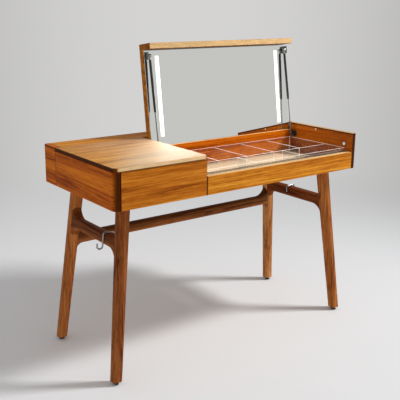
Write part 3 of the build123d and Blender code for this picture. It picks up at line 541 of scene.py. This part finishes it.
def clear_sheet(name, alpha, tint, roughness, glow=0.0, shade=None):
    """Clear acrylic that shows what lies behind it; a shade paints it dark below a height."""
    finish = Finish(name)
    places = finish.place()
    rub = finish.cloud(places, RUBBING, 3.0)
    colour = finish.mix(rub.ramp(0.3, 0.7), [c * 0.96 for c in tint], tint)
    haze = rub * (alpha * 0.4) + alpha * 0.8
    if shade:
        low, high, strength = shade
        # Painted shade below a height.
        painted_shade = 1.0 - places[Z].ramp(low, high)
        colour = finish.mix(painted_shade, colour, [c * 0.12 for c in tint])
        haze = haze + painted_shade * strength
    # A given glow is painted light given off by the sheet.
    return finish.surface(
        Base_Color=colour,
        Roughness=rub * 0.06 + roughness,
        Alpha=haze,
        IOR=ACRYLIC_IOR,
        Emission_Color=colour,
        Emission_Strength=glow,
    )


def leg_core(name):
    """Middle of a leg's foot and of its top."""
    low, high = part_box(name)
    ends = []
    for level in (low.z, high.z):
        ring = [vert.co for vert in NODES[name].data.vertices if abs(vert.co.z - level) < MM]
        ends.append(sum(ring, Vector()) / len(ring))
    return ends


def paint(material, *names):
    """Give CAD nodes a finish on all of their material slots."""
    for name in names:
        target = NODES[name]
        if not target.material_slots:
            target.data.materials.append(material)
        for place in target.material_slots:
            place.material = material


TURN_SIDES = 28
HARD_ANGLE = radians(32)
SHARP_BEND = radians(45)


def turn(shape, foot, axis, profile, finish=0):
    """Add a closed turned form to a mesh in the making, from pairs of place along the axis and radius."""
    along = Vector(axis).normalized()
    side = along.orthogonal().normalized()
    other = along.cross(side)
    angles = [2 * pi * i / TURN_SIDES for i in range(TURN_SIDES)]
    spokes = [side * cos(angle) + other * sin(angle) for angle in angles]
    rings = []
    for far, radius in profile:
        middle = Vector(foot) + along * far
        rings.append([shape.verts.new(middle + spoke * radius) for spoke in spokes])
    faces = [shape.faces.new(rings[0][::-1]), shape.faces.new(rings[-1])]
    for low, high in zip(rings, rings[1:]):
        for i in range(TURN_SIDES):
            faces.append(shape.faces.new((low[i - 1], low[i], high[i], high[i - 1])))
    for face in faces:
        face.material_index = finish
        face.smooth = True


def bent_edges(shape, sign):
    """Edges of a mesh in the making that bend sharply, outwards for 1 and inwards for -1."""
    shared = [edge for edge in shape.edges if len(edge.link_faces) == 2]
    return [edge for edge in shared if edge.calc_face_angle_signed() * sign > SHARP_BEND]


def add_object(name, data):
    """Put a new object into the scene."""
    made = bpy.data.objects.new(name, data)
    bpy.context.scene.collection.objects.link(made)
    return made


def set_piece(name, mesh, finishes, body, slot, *stands_for):
    """Make a finished mesh a piece of the table, which moves with a body."""
    for finish in finishes:
        mesh.materials.append(finish)
    piece = add_object(name, mesh)
    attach(piece, body)
    if stands_for:
        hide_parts(*stands_for)


def mesh_of(name, shape):
    """Close a mesh in the making, with hard edges kept hard."""
    mesh = bpy.data.meshes.new(name)
    shape.to_mesh(mesh)
    shape.free()
    mesh.set_sharp_from_angle(angle=HARD_ANGLE)
    return mesh


FINISHED = {"FINISHED"}


class PieceOperator(Operator):
    """Shared by the operators: each can be undone."""

    bl_options = {"REGISTER", "UNDO"}


TUBE_LENGTH = 200.0 * MM
TUBE_RADIUS = 5.0 * MM
NECK_LENGTH = 15.0 * MM
NECK_RADIUS = 3.0 * MM
ROD_HOLE_RADIUS = 2.6 * MM
EYE_RADIUS = 7.0 * MM
EYE_HALF = 5.0 * MM
EYE_EASE = EYE_RADIUS * 0.12
EYE_PROFILE = (
    (-EYE_HALF, EYE_RADIUS - EYE_EASE), (EYE_EASE - EYE_HALF, EYE_RADIUS),
    (EYE_HALF - EYE_EASE, EYE_RADIUS), (EYE_HALF, EYE_RADIUS - EYE_EASE),
)
# Profiles as pairs of place and radius, in radii of the tube and in shares of the glide's size.
GLAND_PROFILE = ((0.0, 0.80), (0.2, 0.92), (1.0, 0.92), (1.2, 0.84), (1.5, 0.84), (1.8, 1.0))
CROWN_PROFILE = ((-0.5, 1.0), (-0.2, 0.9), (0.0, 0.72))
GLIDE_RADIUS = 10.0 * MM
GLIDE_PROFILE = (
    (0.0, 0.86), (0.06, 0.94), (0.14, 1.0), (0.52, 1.0),
    (0.60, 0.94), (0.66, 0.74), (0.72, 0.72), (1.0, 0.72),
)


def strut_line(side):
    """A strut's foot, its direction and the middle of its upper eye."""
    foot = Vector(JOINTS[f"strut_{side}_pivot"]["pos_m"])
    axis = Vector(JOINTS[f"strut_{side}_stroke"]["axis"]).normalized()
    eye_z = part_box(f"strut_tube_{side}")[1].z - EYE_RADIUS
    return foot, axis, foot + axis * ((eye_z - foot.z) / axis.z)


# Shares of the painted highlight's tone on the upper edges of boards.
EDGE_HIGHLIGHTS = {"front_apron": 1.0, "right_end_panel": 0.68, "compartment_back_panel": 1.0}
# Painted glare on the fixed top, where the light strips light it: from and to a value of x - y, and how much.
TOP_PAINTED_GLARE = (-0.42, -0.20, 0.46)
# Widths of the lines of painted shade: in the joint, under top edges, under the fixed top and round the
# drawer.
JOINT_SHADE_WIDTH = 1.8 * MM
TOP_EDGE_SHADE_WIDTH = 8.0 * MM
TOP_GAP_SHADE_WIDTH = 6.0 * MM
DRAWER_GAP_SHADE_WIDTH = 4.0 * MM
# The grain's direction of each board, and its shares of the red, green and blue of its kind of wood. The
# shares are partly each board's own tone and partly painted light and shade: darker on boards in shade, paler
# on lit boards.
PLAIN = (1.0, 1.0, 1.0)
CASE_BOARDS = {
    "left_side_panel": (Y, (1.0, 0.74, 0.40)),
    "right_end_panel": (Y, (0.55, 0.39, 0.16)),
    "left_top_panel": (X, (1.12, 1.50, 2.4)),
    "front_apron": (X, (1.12, 1.28, 1.4)),
    "spine_top_board": (X, (1.08, 1.25, 1.45)),
    "spine_end_left": (Y, (0.95, 0.68, 0.36)),
    "spine_end_right": (Y, PLAIN),
    "compartment_back_panel": (X, (0.95, 0.68, 0.12)),
    "divider_panel": (Y, PLAIN),
    "back_panel": (X, PLAIN),
    "drawer_front": (X, (0.93, 0.92, 0.95)),
}
# Shares of the legs and rails, partly their own tone and partly painted light and shade.
BASE_PIECES = {
    "leg_front_left": (Z, (0.80, 0.70, 0.65)),
    "leg_front_right": (Z, (1.25, 1.25, 1.15)),
    "leg_back_left": (Z, (1.25, 1.20, 1.10)),
    "leg_back_right": (Z, (1.40, 1.70, 2.00)),
    "side_rail_left": (Y, (0.95, 0.85, 0.75)),
    "side_rail_right": (Y, (0.62, 0.48, 0.38)),
    "back_rail": (X, (1.0, 1.0, 0.95)),
}
LID_PANEL_SHARE = (1.08, 1.30, 1.8)
INNER_BOARDS = {
    "bottom_panel": X,
    "spine_front_board": X,
    "drawer_side_left": Y,
    "drawer_side_right": Y,
    "drawer_back": X,
    "drawer_bottom": X,
}
# Painted shade on the upper part of the rails: from and to a height, and how much.
RAIL_SHADES = {
    "side_rail_left": (0.470, 0.515, 0.45),
    "side_rail_right": (0.470, 0.515, 0.45),
    "back_rail": (0.396, 0.438, 0.75),
}


def shades_of(kind, share=PLAIN):
    """Dark, middle and light tones of a kind of wood, with the shares of one board."""
    settings = bpy.context.scene.vanity_wood
    tones = [getattr(settings, f"{kind}_{tone}") for tone in TONES]
    return [[min(c * k, 1.0) for c, k in zip(tone, share)] for tone in tones]


class VANITY_OT_case(PieceOperator):
    """Finish the boards of the case and the drawer."""

    bl_idname = "vanity.case"
    bl_label = "Case boards"

    def execute(self, context):
        tones = context.scene.vanity_wood
        low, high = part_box("spine_end_left")
        # Lines of painted shade in the gaps and under the top edges of the boards.
        joint = (Y, low.y, JOINT_SHADE_WIDTH)
        top_edge_shade = (Z, high.z, TOP_EDGE_SHADE_WIDTH)
        top_gap_shade = (Z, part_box("left_top_panel")[0].z, TOP_GAP_SHADE_WIDTH)
        drawer_top_shade = (Z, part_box("drawer_front")[1].z, DRAWER_GAP_SHADE_WIDTH)
        drawer_side_shade = (X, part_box("front_apron")[0].x, DRAWER_GAP_SHADE_WIDTH)
        shade_lines = {
            "left_side_panel": [joint],
            "spine_end_left": [joint, top_edge_shade],
            "right_end_panel": [top_edge_shade],
            "left_top_panel": [top_gap_shade],
            "drawer_front": [drawer_top_shade, drawer_side_shade],
            "front_apron": [drawer_side_shade],
        }
        for number, (name, (along, share)) in enumerate(CASE_BOARDS.items(), 1):
            options = {"shade_lines": shade_lines.get(name, ())}
            # Painted highlight along the upper edges of these boards.
            if name in EDGE_HIGHLIGHTS:
                options["faces"] = [((0, 0, 1), [c * EDGE_HIGHLIGHTS[name] for c in tones.edge_highlight])]
            if name == "left_top_panel":
                options["coat"] = tones.top_sheen
                options["pale"] = (*TOP_PAINTED_GLARE, tones.top_glare)
                # Painted highlight on the front edge of the fixed top.
                options["faces"] = [((0, -1, 0), tones.top_front_highlight)]
            paint(wood(f"teak_{name}", name, along, shades_of("case", share), number, **options), name)
        for number, (name, along) in enumerate(INNER_BOARDS.items(), 31):
            paint(wood(f"board_{name}", name, along, shades_of("inner"), number, contrast=0.7), name)
        return FINISHED


class VANITY_OT_base(PieceOperator):
    """Finish the legs and the swept rails, and turn the glides."""

    bl_idname = "vanity.base"
    bl_label = "Legs and rails"

    def execute(self, context):
        for number, (name, (along, share)) in enumerate(BASE_PIECES.items(), 12):
            options = {"end_share": 0.25, "shade": RAIL_SHADES.get(name)}
            if along == Z:
                options["core"] = leg_core(name)
            paint(wood(f"base_{name}", name, along, shades_of("base", share), number, **options), name)
        shape = bmesh.new()
        low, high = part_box("foot_glides")
        height = high.z - low.z
        profile = [(height * far, GLIDE_RADIUS * wide) for far, wide in GLIDE_PROFILE]
        for x in (low.x + GLIDE_RADIUS, high.x - GLIDE_RADIUS):
            for y in (low.y + GLIDE_RADIUS, high.y - GLIDE_RADIUS):
                turn(shape, (x, y, low.z), (0, 0, 1), profile)
        black = moulded("black_glide", (0.018, 0.018, 0.018), 0.55)
        mesh = mesh_of("turned_glides", shape)
        set_piece("turned_glides", mesh, [black], "case", "black_plastic", "foot_glides")
        return FINISHED


# Each strip's share of the full power, and the lower share of its length that sheds light.
STRIP_SHARES = {"left": 1.0, "right": 0.5}
STRIP_SHARE_LIT = 0.60
STRIP_STAND_OFF = 3.0 * MM


class VANITY_OT_lid(PieceOperator):
    """Finish the lid: panel, front band, mirror and lit strips."""

    bl_idname = "vanity.lid"
    bl_label = "Mirror lid"

    def execute(self, context):
        settings = context.scene.vanity_fittings
        tones = context.scene.vanity_wood
        tints = shades_of("case", LID_PANEL_SHARE)
        panel = wood("teak_lid_panel", "lid_panel", X, tints, number=22, end_share=0.28)
        paint(panel, "lid_panel")
        # Painted highlight on the band's front edge and painted shade on its underside.
        faces = [(LID_FACE, tones.edge_highlight), (-LID_UP, tones.edge_shaded)]
        tints = shades_of("case")
        band = wood("teak_lid_band", "lid_front_band", X, tints, number=23, faces=faces, end_share=0.5)
        paint(band, "lid_front_band")
        paint(silvered_glass("silvered_glass"), "mirror_glass")
        channel = brushed_metal("strip_channel", (0.72, 0.73, 0.74), Z)
        paint(channel, "led_profile_left", "led_profile_right")
        paint(lit_cover("strip_cover"), "led_diffuser_left", "led_diffuser_right")
        for side, inward in (("left", 1), ("right", -1)):
            low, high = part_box(f"led_diffuser_{side}")
            lamp = bpy.data.lights.new(f"strip_light_{side}", "AREA")
            lamp.shape = "RECTANGLE"
            length = (high.z - low.z) / LID_UP.z
            lamp.size = settings.strip_spread
            lamp.size_y = length * STRIP_SHARE_LIT
            lamp.energy = settings.strip_power * STRIP_SHARES[side]
            lamp.color = settings.strip_tint
            strip = add_object(f"strip_light_{side}", lamp)
            aside = Vector((inward * (settings.strip_spread - high.x + low.x) / 2, 0, 0))
            drop = length * (1.0 - STRIP_SHARE_LIT) / 2
            strip.location = (low + high) / 2 + aside + LID_FACE * STRIP_STAND_OFF - LID_UP * drop
            strip.rotation_euler = LID_FACE.to_track_quat("-Z", "Y").to_euler()
            strip.visible_camera = False
            context.view_layer.update()
            place = strip.matrix_world.copy()
            strip.parent = frame["bodies"]["lid"]
            strip.matrix_world = place
        return FINISHED


class VANITY_OT_struts(PieceOperator):
    """Turn the strut tubes, with their glands, necks and eyes, and finish the rods and mounts."""

    bl_idname = "vanity.struts"
    bl_label = "Gas struts"

    def execute(self, context):
        lacquer = moulded("black_lacquer", (0.020, 0.020, 0.023), 0.36, 0.03 * MM)
        zinc = brushed_metal("zinc_fitting", (0.46, 0.47, 0.46), Z, 0.46)
        for side in SIDES:
            foot, axis, eye = strut_line(side)
            reach = (eye - foot).length
            high = reach - NECK_LENGTH
            low = high - TUBE_LENGTH
            shape = bmesh.new()
            gland = [(low + TUBE_RADIUS * far, TUBE_RADIUS * wide) for far, wide in GLAND_PROFILE]
            crown = [(high + TUBE_RADIUS * far, TUBE_RADIUS * wide) for far, wide in CROWN_PROFILE]
            tube = [(low, ROD_HOLE_RADIUS), *gland, *crown, (high, NECK_RADIUS)]
            neck = [(far, NECK_RADIUS) for far in (high, high + NECK_RADIUS, reach)]
            turn(shape, foot, axis, tube)
            turn(shape, foot, axis, neck, 1)
            turn(shape, eye, (1, 0, 0), EYE_PROFILE, 1)
            name = f"turned_tube_{side}"
            node = f"strut_tube_{side}"
            set_piece(name, mesh_of(name, shape), [lacquer, zinc], node, "black_metal", node)
        rod = brushed_metal("ground_rod", (0.26, 0.26, 0.24), Z, 0.44)
        paint(rod, "strut_rod_left", "strut_rod_right")
        paint(lacquer, "strut_wall_mounts")
        return FINISHED


TRAY_PIECES = {"tray_base": "eased_base", "tray_rim": "eased_rim", "tray_dividers": "eased_dividers"}
SHEET_TINT = (1.0, 0.92, 0.82)
EDGE_TINT = (1.0, 0.90, 0.80)
# Painted shade on the lower part of the front sheet, where the gap to the apron lies in shade: where it fades
# out, down from its top, and how dark it is.
FRONT_PAINTED_SHADE = (10.0 * MM, 6.0 * MM, 0.70)
MERGE_DISTANCE = 0.001 * MM
FLAT_ANGLE = radians(1)


class VANITY_OT_tray(PieceOperator):
    """Make the clear organiser tray from sheet with eased, polished edges."""

    bl_idname = "vanity.tray"
    bl_label = "Organiser tray"

    def execute(self, context):
        settings = context.scene.vanity_fittings
        sheet = clear_sheet("acrylic_sheet", settings.sheet_alpha, SHEET_TINT, 0.05)
        edge = clear_sheet("acrylic_edge", settings.edge_alpha, EDGE_TINT, 0.30, settings.edge_painted_glow)
        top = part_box("tray_rim")[1].z
        shade_low, shade_high, strength = FRONT_PAINTED_SHADE
        painted_shade = (top - shade_low, top - shade_high, strength)
        front = clear_sheet("acrylic_front", settings.sheet_alpha, SHEET_TINT, 0.05, shade=painted_shade)
        sheen = settings.floor_sheen
        board = wood("tray_floor", "tray_base", X, shades_of("floor"), 41, contrast=0.6, coat=sheen)
        for node, piece in TRAY_PIECES.items():
            low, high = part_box(node)
            shape = bmesh.new()
            shape.from_mesh(NODES[node].data)
            bmesh.ops.remove_doubles(shape, verts=shape.verts, dist=MERGE_DISTANCE)
            bmesh.ops.dissolve_limit(shape, angle_limit=FLAT_ANGLE, verts=shape.verts, edges=shape.edges)
            ease = {"offset": settings.sheet_ease, "segments": 2, "profile": 0.5, "affect": "EDGES"}
            bmesh.ops.bevel(shape, geom=bent_edges(shape, 1), **ease)
            ends = [(joint, joint.verts[0].co - joint.verts[1].co) for joint in bent_edges(shape, -1)]
            upright = [joint for joint, run in ends if abs(run.normalized().z) > 0.9]
            weld = {"offset": settings.weld_width, "segments": 1, "affect": "EDGES"}
            welds = bmesh.ops.bevel(shape, geom=upright, **weld)["faces"]
            for face in shape.faces:
                middle = face.calc_center_median()
                is_rim = node != "tray_base" and middle.z > high.z - 2 * settings.sheet_ease
                is_foot = node == "tray_base" and abs(face.normal.z) < 0.95
                is_front = node == "tray_rim" and middle.y < low.y + settings.sheet_ease
                is_edge = is_rim or is_foot or face in welds
                face.material_index = 1 if is_edge else 2 if is_front else 0
            finishes = [board if node == "tray_base" else sheet, edge, front]
            set_piece(piece, mesh_of(piece, shape), finishes, "case", "clear_acrylic", node)
        return FINISHED


BUTTON_CROWN = 1.4 * MM
# The button's dome: steps of its round shoulder, how far that draws in, and its cap as shares.
DOME_STEPS = (0.0, 0.4, 0.8, 1.2)
DOME_DRAW = 0.16
DOME_CAP = ((0.1, 0.70), (0.02, 0.40), (0.0, 0.10))


class VANITY_OT_fittings(PieceOperator):
    """Finish the hooks, runners and small fittings, and turn the light button."""

    bl_idname = "vanity.fittings"
    bl_label = "Fittings"

    def execute(self, context):
        chrome = bright_metal("polished_chrome", (0.40, 0.41, 0.41), 0.30)
        paint(chrome, "hook_left", "hook_right")
        zinc = brushed_metal("zinc_plate", (0.66, 0.67, 0.68), Y)
        members = ("outer", "middle", "inner")
        runners = [f"runner_{member}_{side}" for member in members for side in SIDES]
        paint(zinc, "leg_bolts", "pivot_plates", *runners)
        paint(brushed_metal("dull_bracket", (0.24, 0.25, 0.24), Z, 0.42), "strut_lid_brackets")
        black = moulded("black_moulding", (0.020, 0.018, 0.017), 0.50)
        paint(black, "cable_grommet", "led_driver", "light_button_bezel")
        paint(moulded("nylon_bush", (0.74, 0.72, 0.66), 0.45), "pivot_bushes")
        paint(clear_sheet("soft_bumper", 0.65, (0.90, 0.86, 0.80), 0.25), "lid_bumpers")
        low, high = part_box("light_button")
        radius = (high.z - low.z) / 2
        deep = high.x - low.x
        dome = [(0.0, radius)]
        for step in DOME_STEPS:
            width = radius * (1 - DOME_DRAW * (1 - cos(step)))
            dome.append((deep - BUTTON_CROWN * (1 - sin(step)), width))
        dome += [(deep - drop * BUTTON_CROWN, radius * share) for drop, share in DOME_CAP]
        shape = bmesh.new()
        turn(shape, (high.x, (low.y + high.y) / 2, (low.z + high.z) / 2), (-1, 0, 0), dome)
        white = moulded("white_button", (0.88, 0.87, 0.85), 0.25, 0.02 * MM, 0.04)
        mesh = mesh_of("domed_button", shape)
        set_piece("domed_button", mesh, [white], "light_button", "white_plastic", "light_button")
        return FINISHED


SCREW_INPUTS = {
    "Head Diameter": "NodeSocketFloat",
    "Head Height": "NodeSocketFloat",
    "Slot Width": "NodeSocketFloat",
    "Seed": "NodeSocketInt",
    "Finish": "NodeSocketMaterial",
}
HEAD_SIDES = 20
# Parts of a screw head, as shares of its diameter and of its height.
HEAD_TOP, SLOT_LENGTH, SLOT_LIFT = 0.40, 0.62, 0.9


def screw_tree():
    """Cross-slotted screw heads on points, each along the point's facing and turned at random."""
    tree = bpy.data.node_groups.new("screw_heads", "GeometryNodeTree")
    inputs = {}
    kinds = {"Points": "NodeSocketGeometry", **SCREW_INPUTS}
    for name, kind in kinds.items():
        inputs[name] = tree.interface.new_socket(name, in_out="INPUT", socket_type=kind).identifier
    tree.interface.new_socket("Screws", in_out="OUTPUT", socket_type="NodeSocketGeometry")
    made = NodeTree(tree)
    given = tree.nodes.new("NodeGroupInput")
    points, diameter, height, slot, seed, finish = [Wire(made, given.outputs[name]) for name in kinds]
    sizes = {
        "Vertices": HEAD_SIDES,
        "Radius Top": diameter * HEAD_TOP,
        "Radius Bottom": diameter * 0.5,
        "Depth": height,
    }
    head = made.node("GeometryNodeMeshCone", None, sizes)
    bars = []
    for long_x, long_y in ((SLOT_LENGTH, 0.0), (0.0, SLOT_LENGTH)):
        size = made.join((diameter * long_x).most(slot), (diameter * long_y).most(slot), height)
        bar = made.node("GeometryNodeMeshCube", None, {"Size": size})
        lift = made.join(0.0, 0.0, height * SLOT_LIFT)
        bars.append(made.node("GeometryNodeTransform", None, {"Geometry": bar, "Translation": lift}))
    parts = {"Mesh 1": head, "Mesh 2": bars}
    slotted = made.node("GeometryNodeMeshBoolean", {"operation": "DIFFERENCE"}, parts)
    facing = made.node("GeometryNodeInputNamedAttribute", {"data_type": "FLOAT_VECTOR"}, {"Name": "facing"})
    upright = made.node("FunctionNodeAlignRotationToVector", {"axis": "Z"}, {"Vector": facing})
    limits = {RANDOM_LOW: 0.0, RANDOM_HIGH: 2 * pi, "Seed": seed}
    angle = made.node("FunctionNodeRandomValue", {"data_type": "FLOAT"}, limits, RANDOM_NUMBER)
    spin = made.node("FunctionNodeAxisAngleToRotation", None, {"Axis": (0.0, 0.0, 1.0), "Angle": angle})
    turned = made.node(
        "FunctionNodeRotateRotation", {"rotation_space": "LOCAL"}, {"Rotation": upright, "Rotate By": spin}
    )
    heads = made.node(
        "GeometryNodeInstanceOnPoints", None, {"Points": points, "Instance": slotted, "Rotation": turned}
    )
    whole = made.node("GeometryNodeRealizeInstances", None, {"Geometry": heads})
    dressed = made.node("GeometryNodeSetMaterial", None, {"Geometry": whole, "Material": finish})
    made.node("NodeGroupOutput", None, {"Screws": dressed})
    return tree, inputs


PLATE_THICK = 2.0 * MM
PLATE_DROPS = (20.0 * MM, 38.0 * MM)
MOUNT_THICK = 6.0 * MM
MOUNT_SCREW = 10.5 * MM
BRACKET_SCREW = MOUNT_SCREW * 0.9
BRACKET_BACK = 11.0 * MM
BRACKET_OUT = 13.2 * MM


class VANITY_OT_screws(PieceOperator):
    """Set small cross-slotted screws in the pivot plates, strut mounts and lid brackets."""

    bl_idname = "vanity.screws"
    bl_label = "Screws"

    def execute(self, context):
        settings = context.scene.vanity_fittings
        tree, inputs = screw_tree()
        finish = brushed_metal("screw_steel", (0.52, 0.52, 0.53), Z, 0.30)
        sizes = (settings.screw_diameter, settings.screw_height, settings.screw_slot)
        low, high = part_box("pivot_plates")
        spots = {"case": [], "lid": []}
        for side, inward, wall in (("left", 1, low.x), ("right", -1, high.x)):
            facing = Vector((inward, 0, 0))
            foot, _, eye = strut_line(side)
            for drop in PLATE_DROPS:
                plate = Vector((wall + inward * PLATE_THICK, LID_PIVOT.y, LID_PIVOT.z - drop))
                spots["case"].append((plate, facing))
            for way in (-1, 1):
                mount = Vector((wall + inward * MOUNT_THICK, foot.y, foot.z + way * MOUNT_SCREW))
                spots["case"].append((mount, facing))
                hold = eye - LID_FACE * BRACKET_BACK + LID_UP * way * BRACKET_SCREW
                spots["lid"].append((Vector((eye.x - inward * BRACKET_OUT, hold.y, hold.z)), LID_FACE))
        for body, places in spots.items():
            mesh = bpy.data.meshes.new(f"screw_spots_{body}")
            mesh.from_pydata([place for place, _ in places], [], [])
            facings = mesh.attributes.new("facing", "FLOAT_VECTOR", "POINT")
            facings.data.foreach_set("vector", [value for _, facing in places for value in facing])
            carrier = add_object(f"screw_spots_{body}", mesh)
            modifier = carrier.modifiers.new("screw_heads", "NODES")
            modifier.node_group = tree
            for name, value in zip(SCREW_INPUTS, (*sizes, settings.screw_seed, finish)):
                modifier[inputs[name]] = value
            context.view_layer.update()
            evaluated = carrier.evaluated_get(context.evaluated_depsgraph_get())
            heads = bpy.data.meshes.new_from_object(evaluated)
            heads.name = f"screws_{body}"
            carrier.modifiers.remove(modifier)
            bpy.data.objects.remove(carrier)
            finishes = [] if heads.materials else [finish]
            set_piece(f"screws_{body}", heads, finishes, body, "zinc_steel")
        return FINISHED


# The pool of light behind the table, over the slope to each side of where the camera looks. The world lights
# the scene with it, and the far floor has it painted on as glow.
POOL_MIDDLE = 0.03
POOL_LIFT = 0.07
POOL_FALL = 2.5
POOL_DEPTH = 0.25
POOL_EDGE = (0.45, 1.0)
LEAST_AHEAD = 0.05
AHEAD_EDGE = (0.0, 0.1)
FLOOR_CLOUD = (1.5,) * 3
# Painted light on the near floor: paler towards -x and +y to make up for the key light's fall-off, within
# these limits.
FLOOR_PAINTED_SLOPE = (-0.15, 0.06)
FLOOR_LEAST, FLOOR_MOST = 0.7, 1.12
ROOM_RISE = (0.30, 0.75)
KEY_AIM = Vector((0.0, 0.0, 0.70))
BLACK = (0.0, 0.0, 0.0)


def room_light(tree, spot, yaw, room):
    """Colour of the room in a direction: a soft pool of light behind the table, dimmer to both sides."""
    ahead = spot[0] * sin(yaw) + spot[1] * cos(yaw)
    aside = spot[0] * cos(yaw) - spot[1] * sin(yaw)
    off = abs(aside / ahead.most(LEAST_AHEAD) - POOL_MIDDLE)
    pool = (POOL_LIFT - off * off * POOL_FALL).most(-POOL_DEPTH)
    share = pool * (1.0 - off.ramp(*POOL_EDGE)) * ahead.ramp(*AHEAD_EDGE) + 1.0
    return tree.mix(1.0, room, tree.join(share, share, share), "MULTIPLY")


class VANITY_OT_stage(PieceOperator):
    """Make the pale floor, the soft studio light and the camera."""

    bl_idname = "vanity.stage"
    bl_label = "Studio stage"

    def execute(self, context):
        settings = context.scene.vanity_stage
        half = settings.floor_size / 2
        mesh = bpy.data.meshes.new("studio_floor")
        corners = [(-half, -half, 0), (half, -half, 0), (half, half, 0), (-half, half, 0)]
        mesh.from_pydata(corners, [], [(0, 1, 2, 3)])
        floor = add_object("studio_floor", mesh)
        finish = Finish("floor_paint")
        places = finish.place()
        cloud = finish.cloud(places, FLOOR_CLOUD, 3.0)
        tint = settings.floor_tint
        room = settings.room_tint
        yaw = settings.camera_yaw
        x, y, _ = places
        away = (x * x + y * y).root().ramp(settings.floor_near, settings.floor_far)
        plain = finish.mix(cloud.ramp(0.3, 0.7), [c * 0.985 for c in tint], tint)
        # Painted light: the floor is paler towards -x and +y to even out the key light's fall-off.
        painted_fill = (x * FLOOR_PAINTED_SLOPE[0] + y * FLOOR_PAINTED_SLOPE[1] + 1.0).most(FLOOR_LEAST).least(FLOOR_MOST)
        near = finish.mix(1.0, plain, finish.join(painted_fill, painted_fill, painted_fill), "MULTIPLY")
        stand = settings.camera_place
        # Far off, the floor glows with the room's colour, with the pool of light painted on it.
        far = room_light(finish, (x - stand[0], y - stand[1]), yaw, room)
        paper = finish.surface(
            Base_Color=finish.mix(away, near, BLACK),
            Roughness=cloud * 0.1 + 0.75,
            Specular_IOR_Level=0.0,
            Emission_Color=finish.mix(away, BLACK, far),
            Emission_Strength=1.0,
        )
        mesh.materials.append(paper)

        world = bpy.data.worlds.new("studio_room")
        world.use_nodes = True
        sky = NodeTree(world.node_tree)
        towards = sky.split(sky.node("ShaderNodeTexCoord", output="Generated"))
        around = room_light(sky, towards, yaw, room)
        light = sky.mix(towards[Z].ramp(*ROOM_RISE), around, settings.room_top)
        background = sky.node("ShaderNodeBackground", None, {"Color": light})
        sky.node("ShaderNodeOutputWorld", None, {"Surface": background})
        context.scene.world = world
        context.scene.view_settings.view_transform = "Standard"

        key_way = Vector(settings.key_towards).normalized()
        lamp = bpy.data.lights.new("key_light", "AREA")
        lamp.energy = settings.key_power
        lamp.size = settings.key_size
        key = add_object("key_light", lamp)
        key.location = KEY_AIM + key_way * settings.key_distance
        key.rotation_euler = (-key_way).to_track_quat("-Z", "Y").to_euler()

        lens = bpy.data.cameras.new("studio_camera")
        lens.sensor_width = 36.0
        lens.lens = settings.camera_lens
        lens.shift_x, lens.shift_y = settings.camera_shift
        camera = add_object("studio_camera", lens)
        camera.location = settings.camera_place
        camera.rotation_euler = (pi / 2 - settings.camera_pitch, 0.0, -yaw)
        context.scene.camera = camera
        return FINISHED


PIECE_OPERATORS = (
    VANITY_OT_case,
    VANITY_OT_base,
    VANITY_OT_lid,
    VANITY_OT_struts,
    VANITY_OT_tray,
    VANITY_OT_fittings,
    VANITY_OT_screws,
    VANITY_OT_stage,
)


class VANITY_PT_sidebar(Panel):
    """List the pieces and their settings in the sidebar."""

    bl_idname = "VANITY_PT_sidebar"
    bl_label = "Vanity Table"
    bl_space_type = "VIEW_3D"
    bl_region_type = "UI"
    bl_category = "Vanity"

    def draw(self, context):
        for operator in PIECE_OPERATORS:
            self.layout.operator(operator.bl_idname)
        for group in SETTINGS:
            box = self.layout.box()
            for name in SETTINGS[group].__annotations__:
                box.prop(getattr(context.scene, group), name)


SETTINGS = {"vanity_wood": WoodSettings, "vanity_fittings": FittingSettings, "vanity_stage": StageSettings}
CLASSES = (*SETTINGS.values(), *PIECE_OPERATORS, VANITY_PT_sidebar)


def register():
    for made in CLASSES:
        bpy.utils.register_class(made)
    for name, group in SETTINGS.items():
        setattr(bpy.types.Scene, name, PointerProperty(type=group))


def unregister():
    for name in SETTINGS:
        delattr(bpy.types.Scene, name)
    for made in reversed(CLASSES):
        bpy.utils.unregister_class(made)


def main():
    """Make every piece in order."""
    register()
    bpy.ops.vanity.case()
    bpy.ops.vanity.base()
    bpy.ops.vanity.lid()
    bpy.ops.vanity.struts()
    bpy.ops.vanity.tray()
    bpy.ops.vanity.fittings()
    bpy.ops.vanity.screws()
    bpy.ops.vanity.stage()


if __name__ == "__main__":
    main()
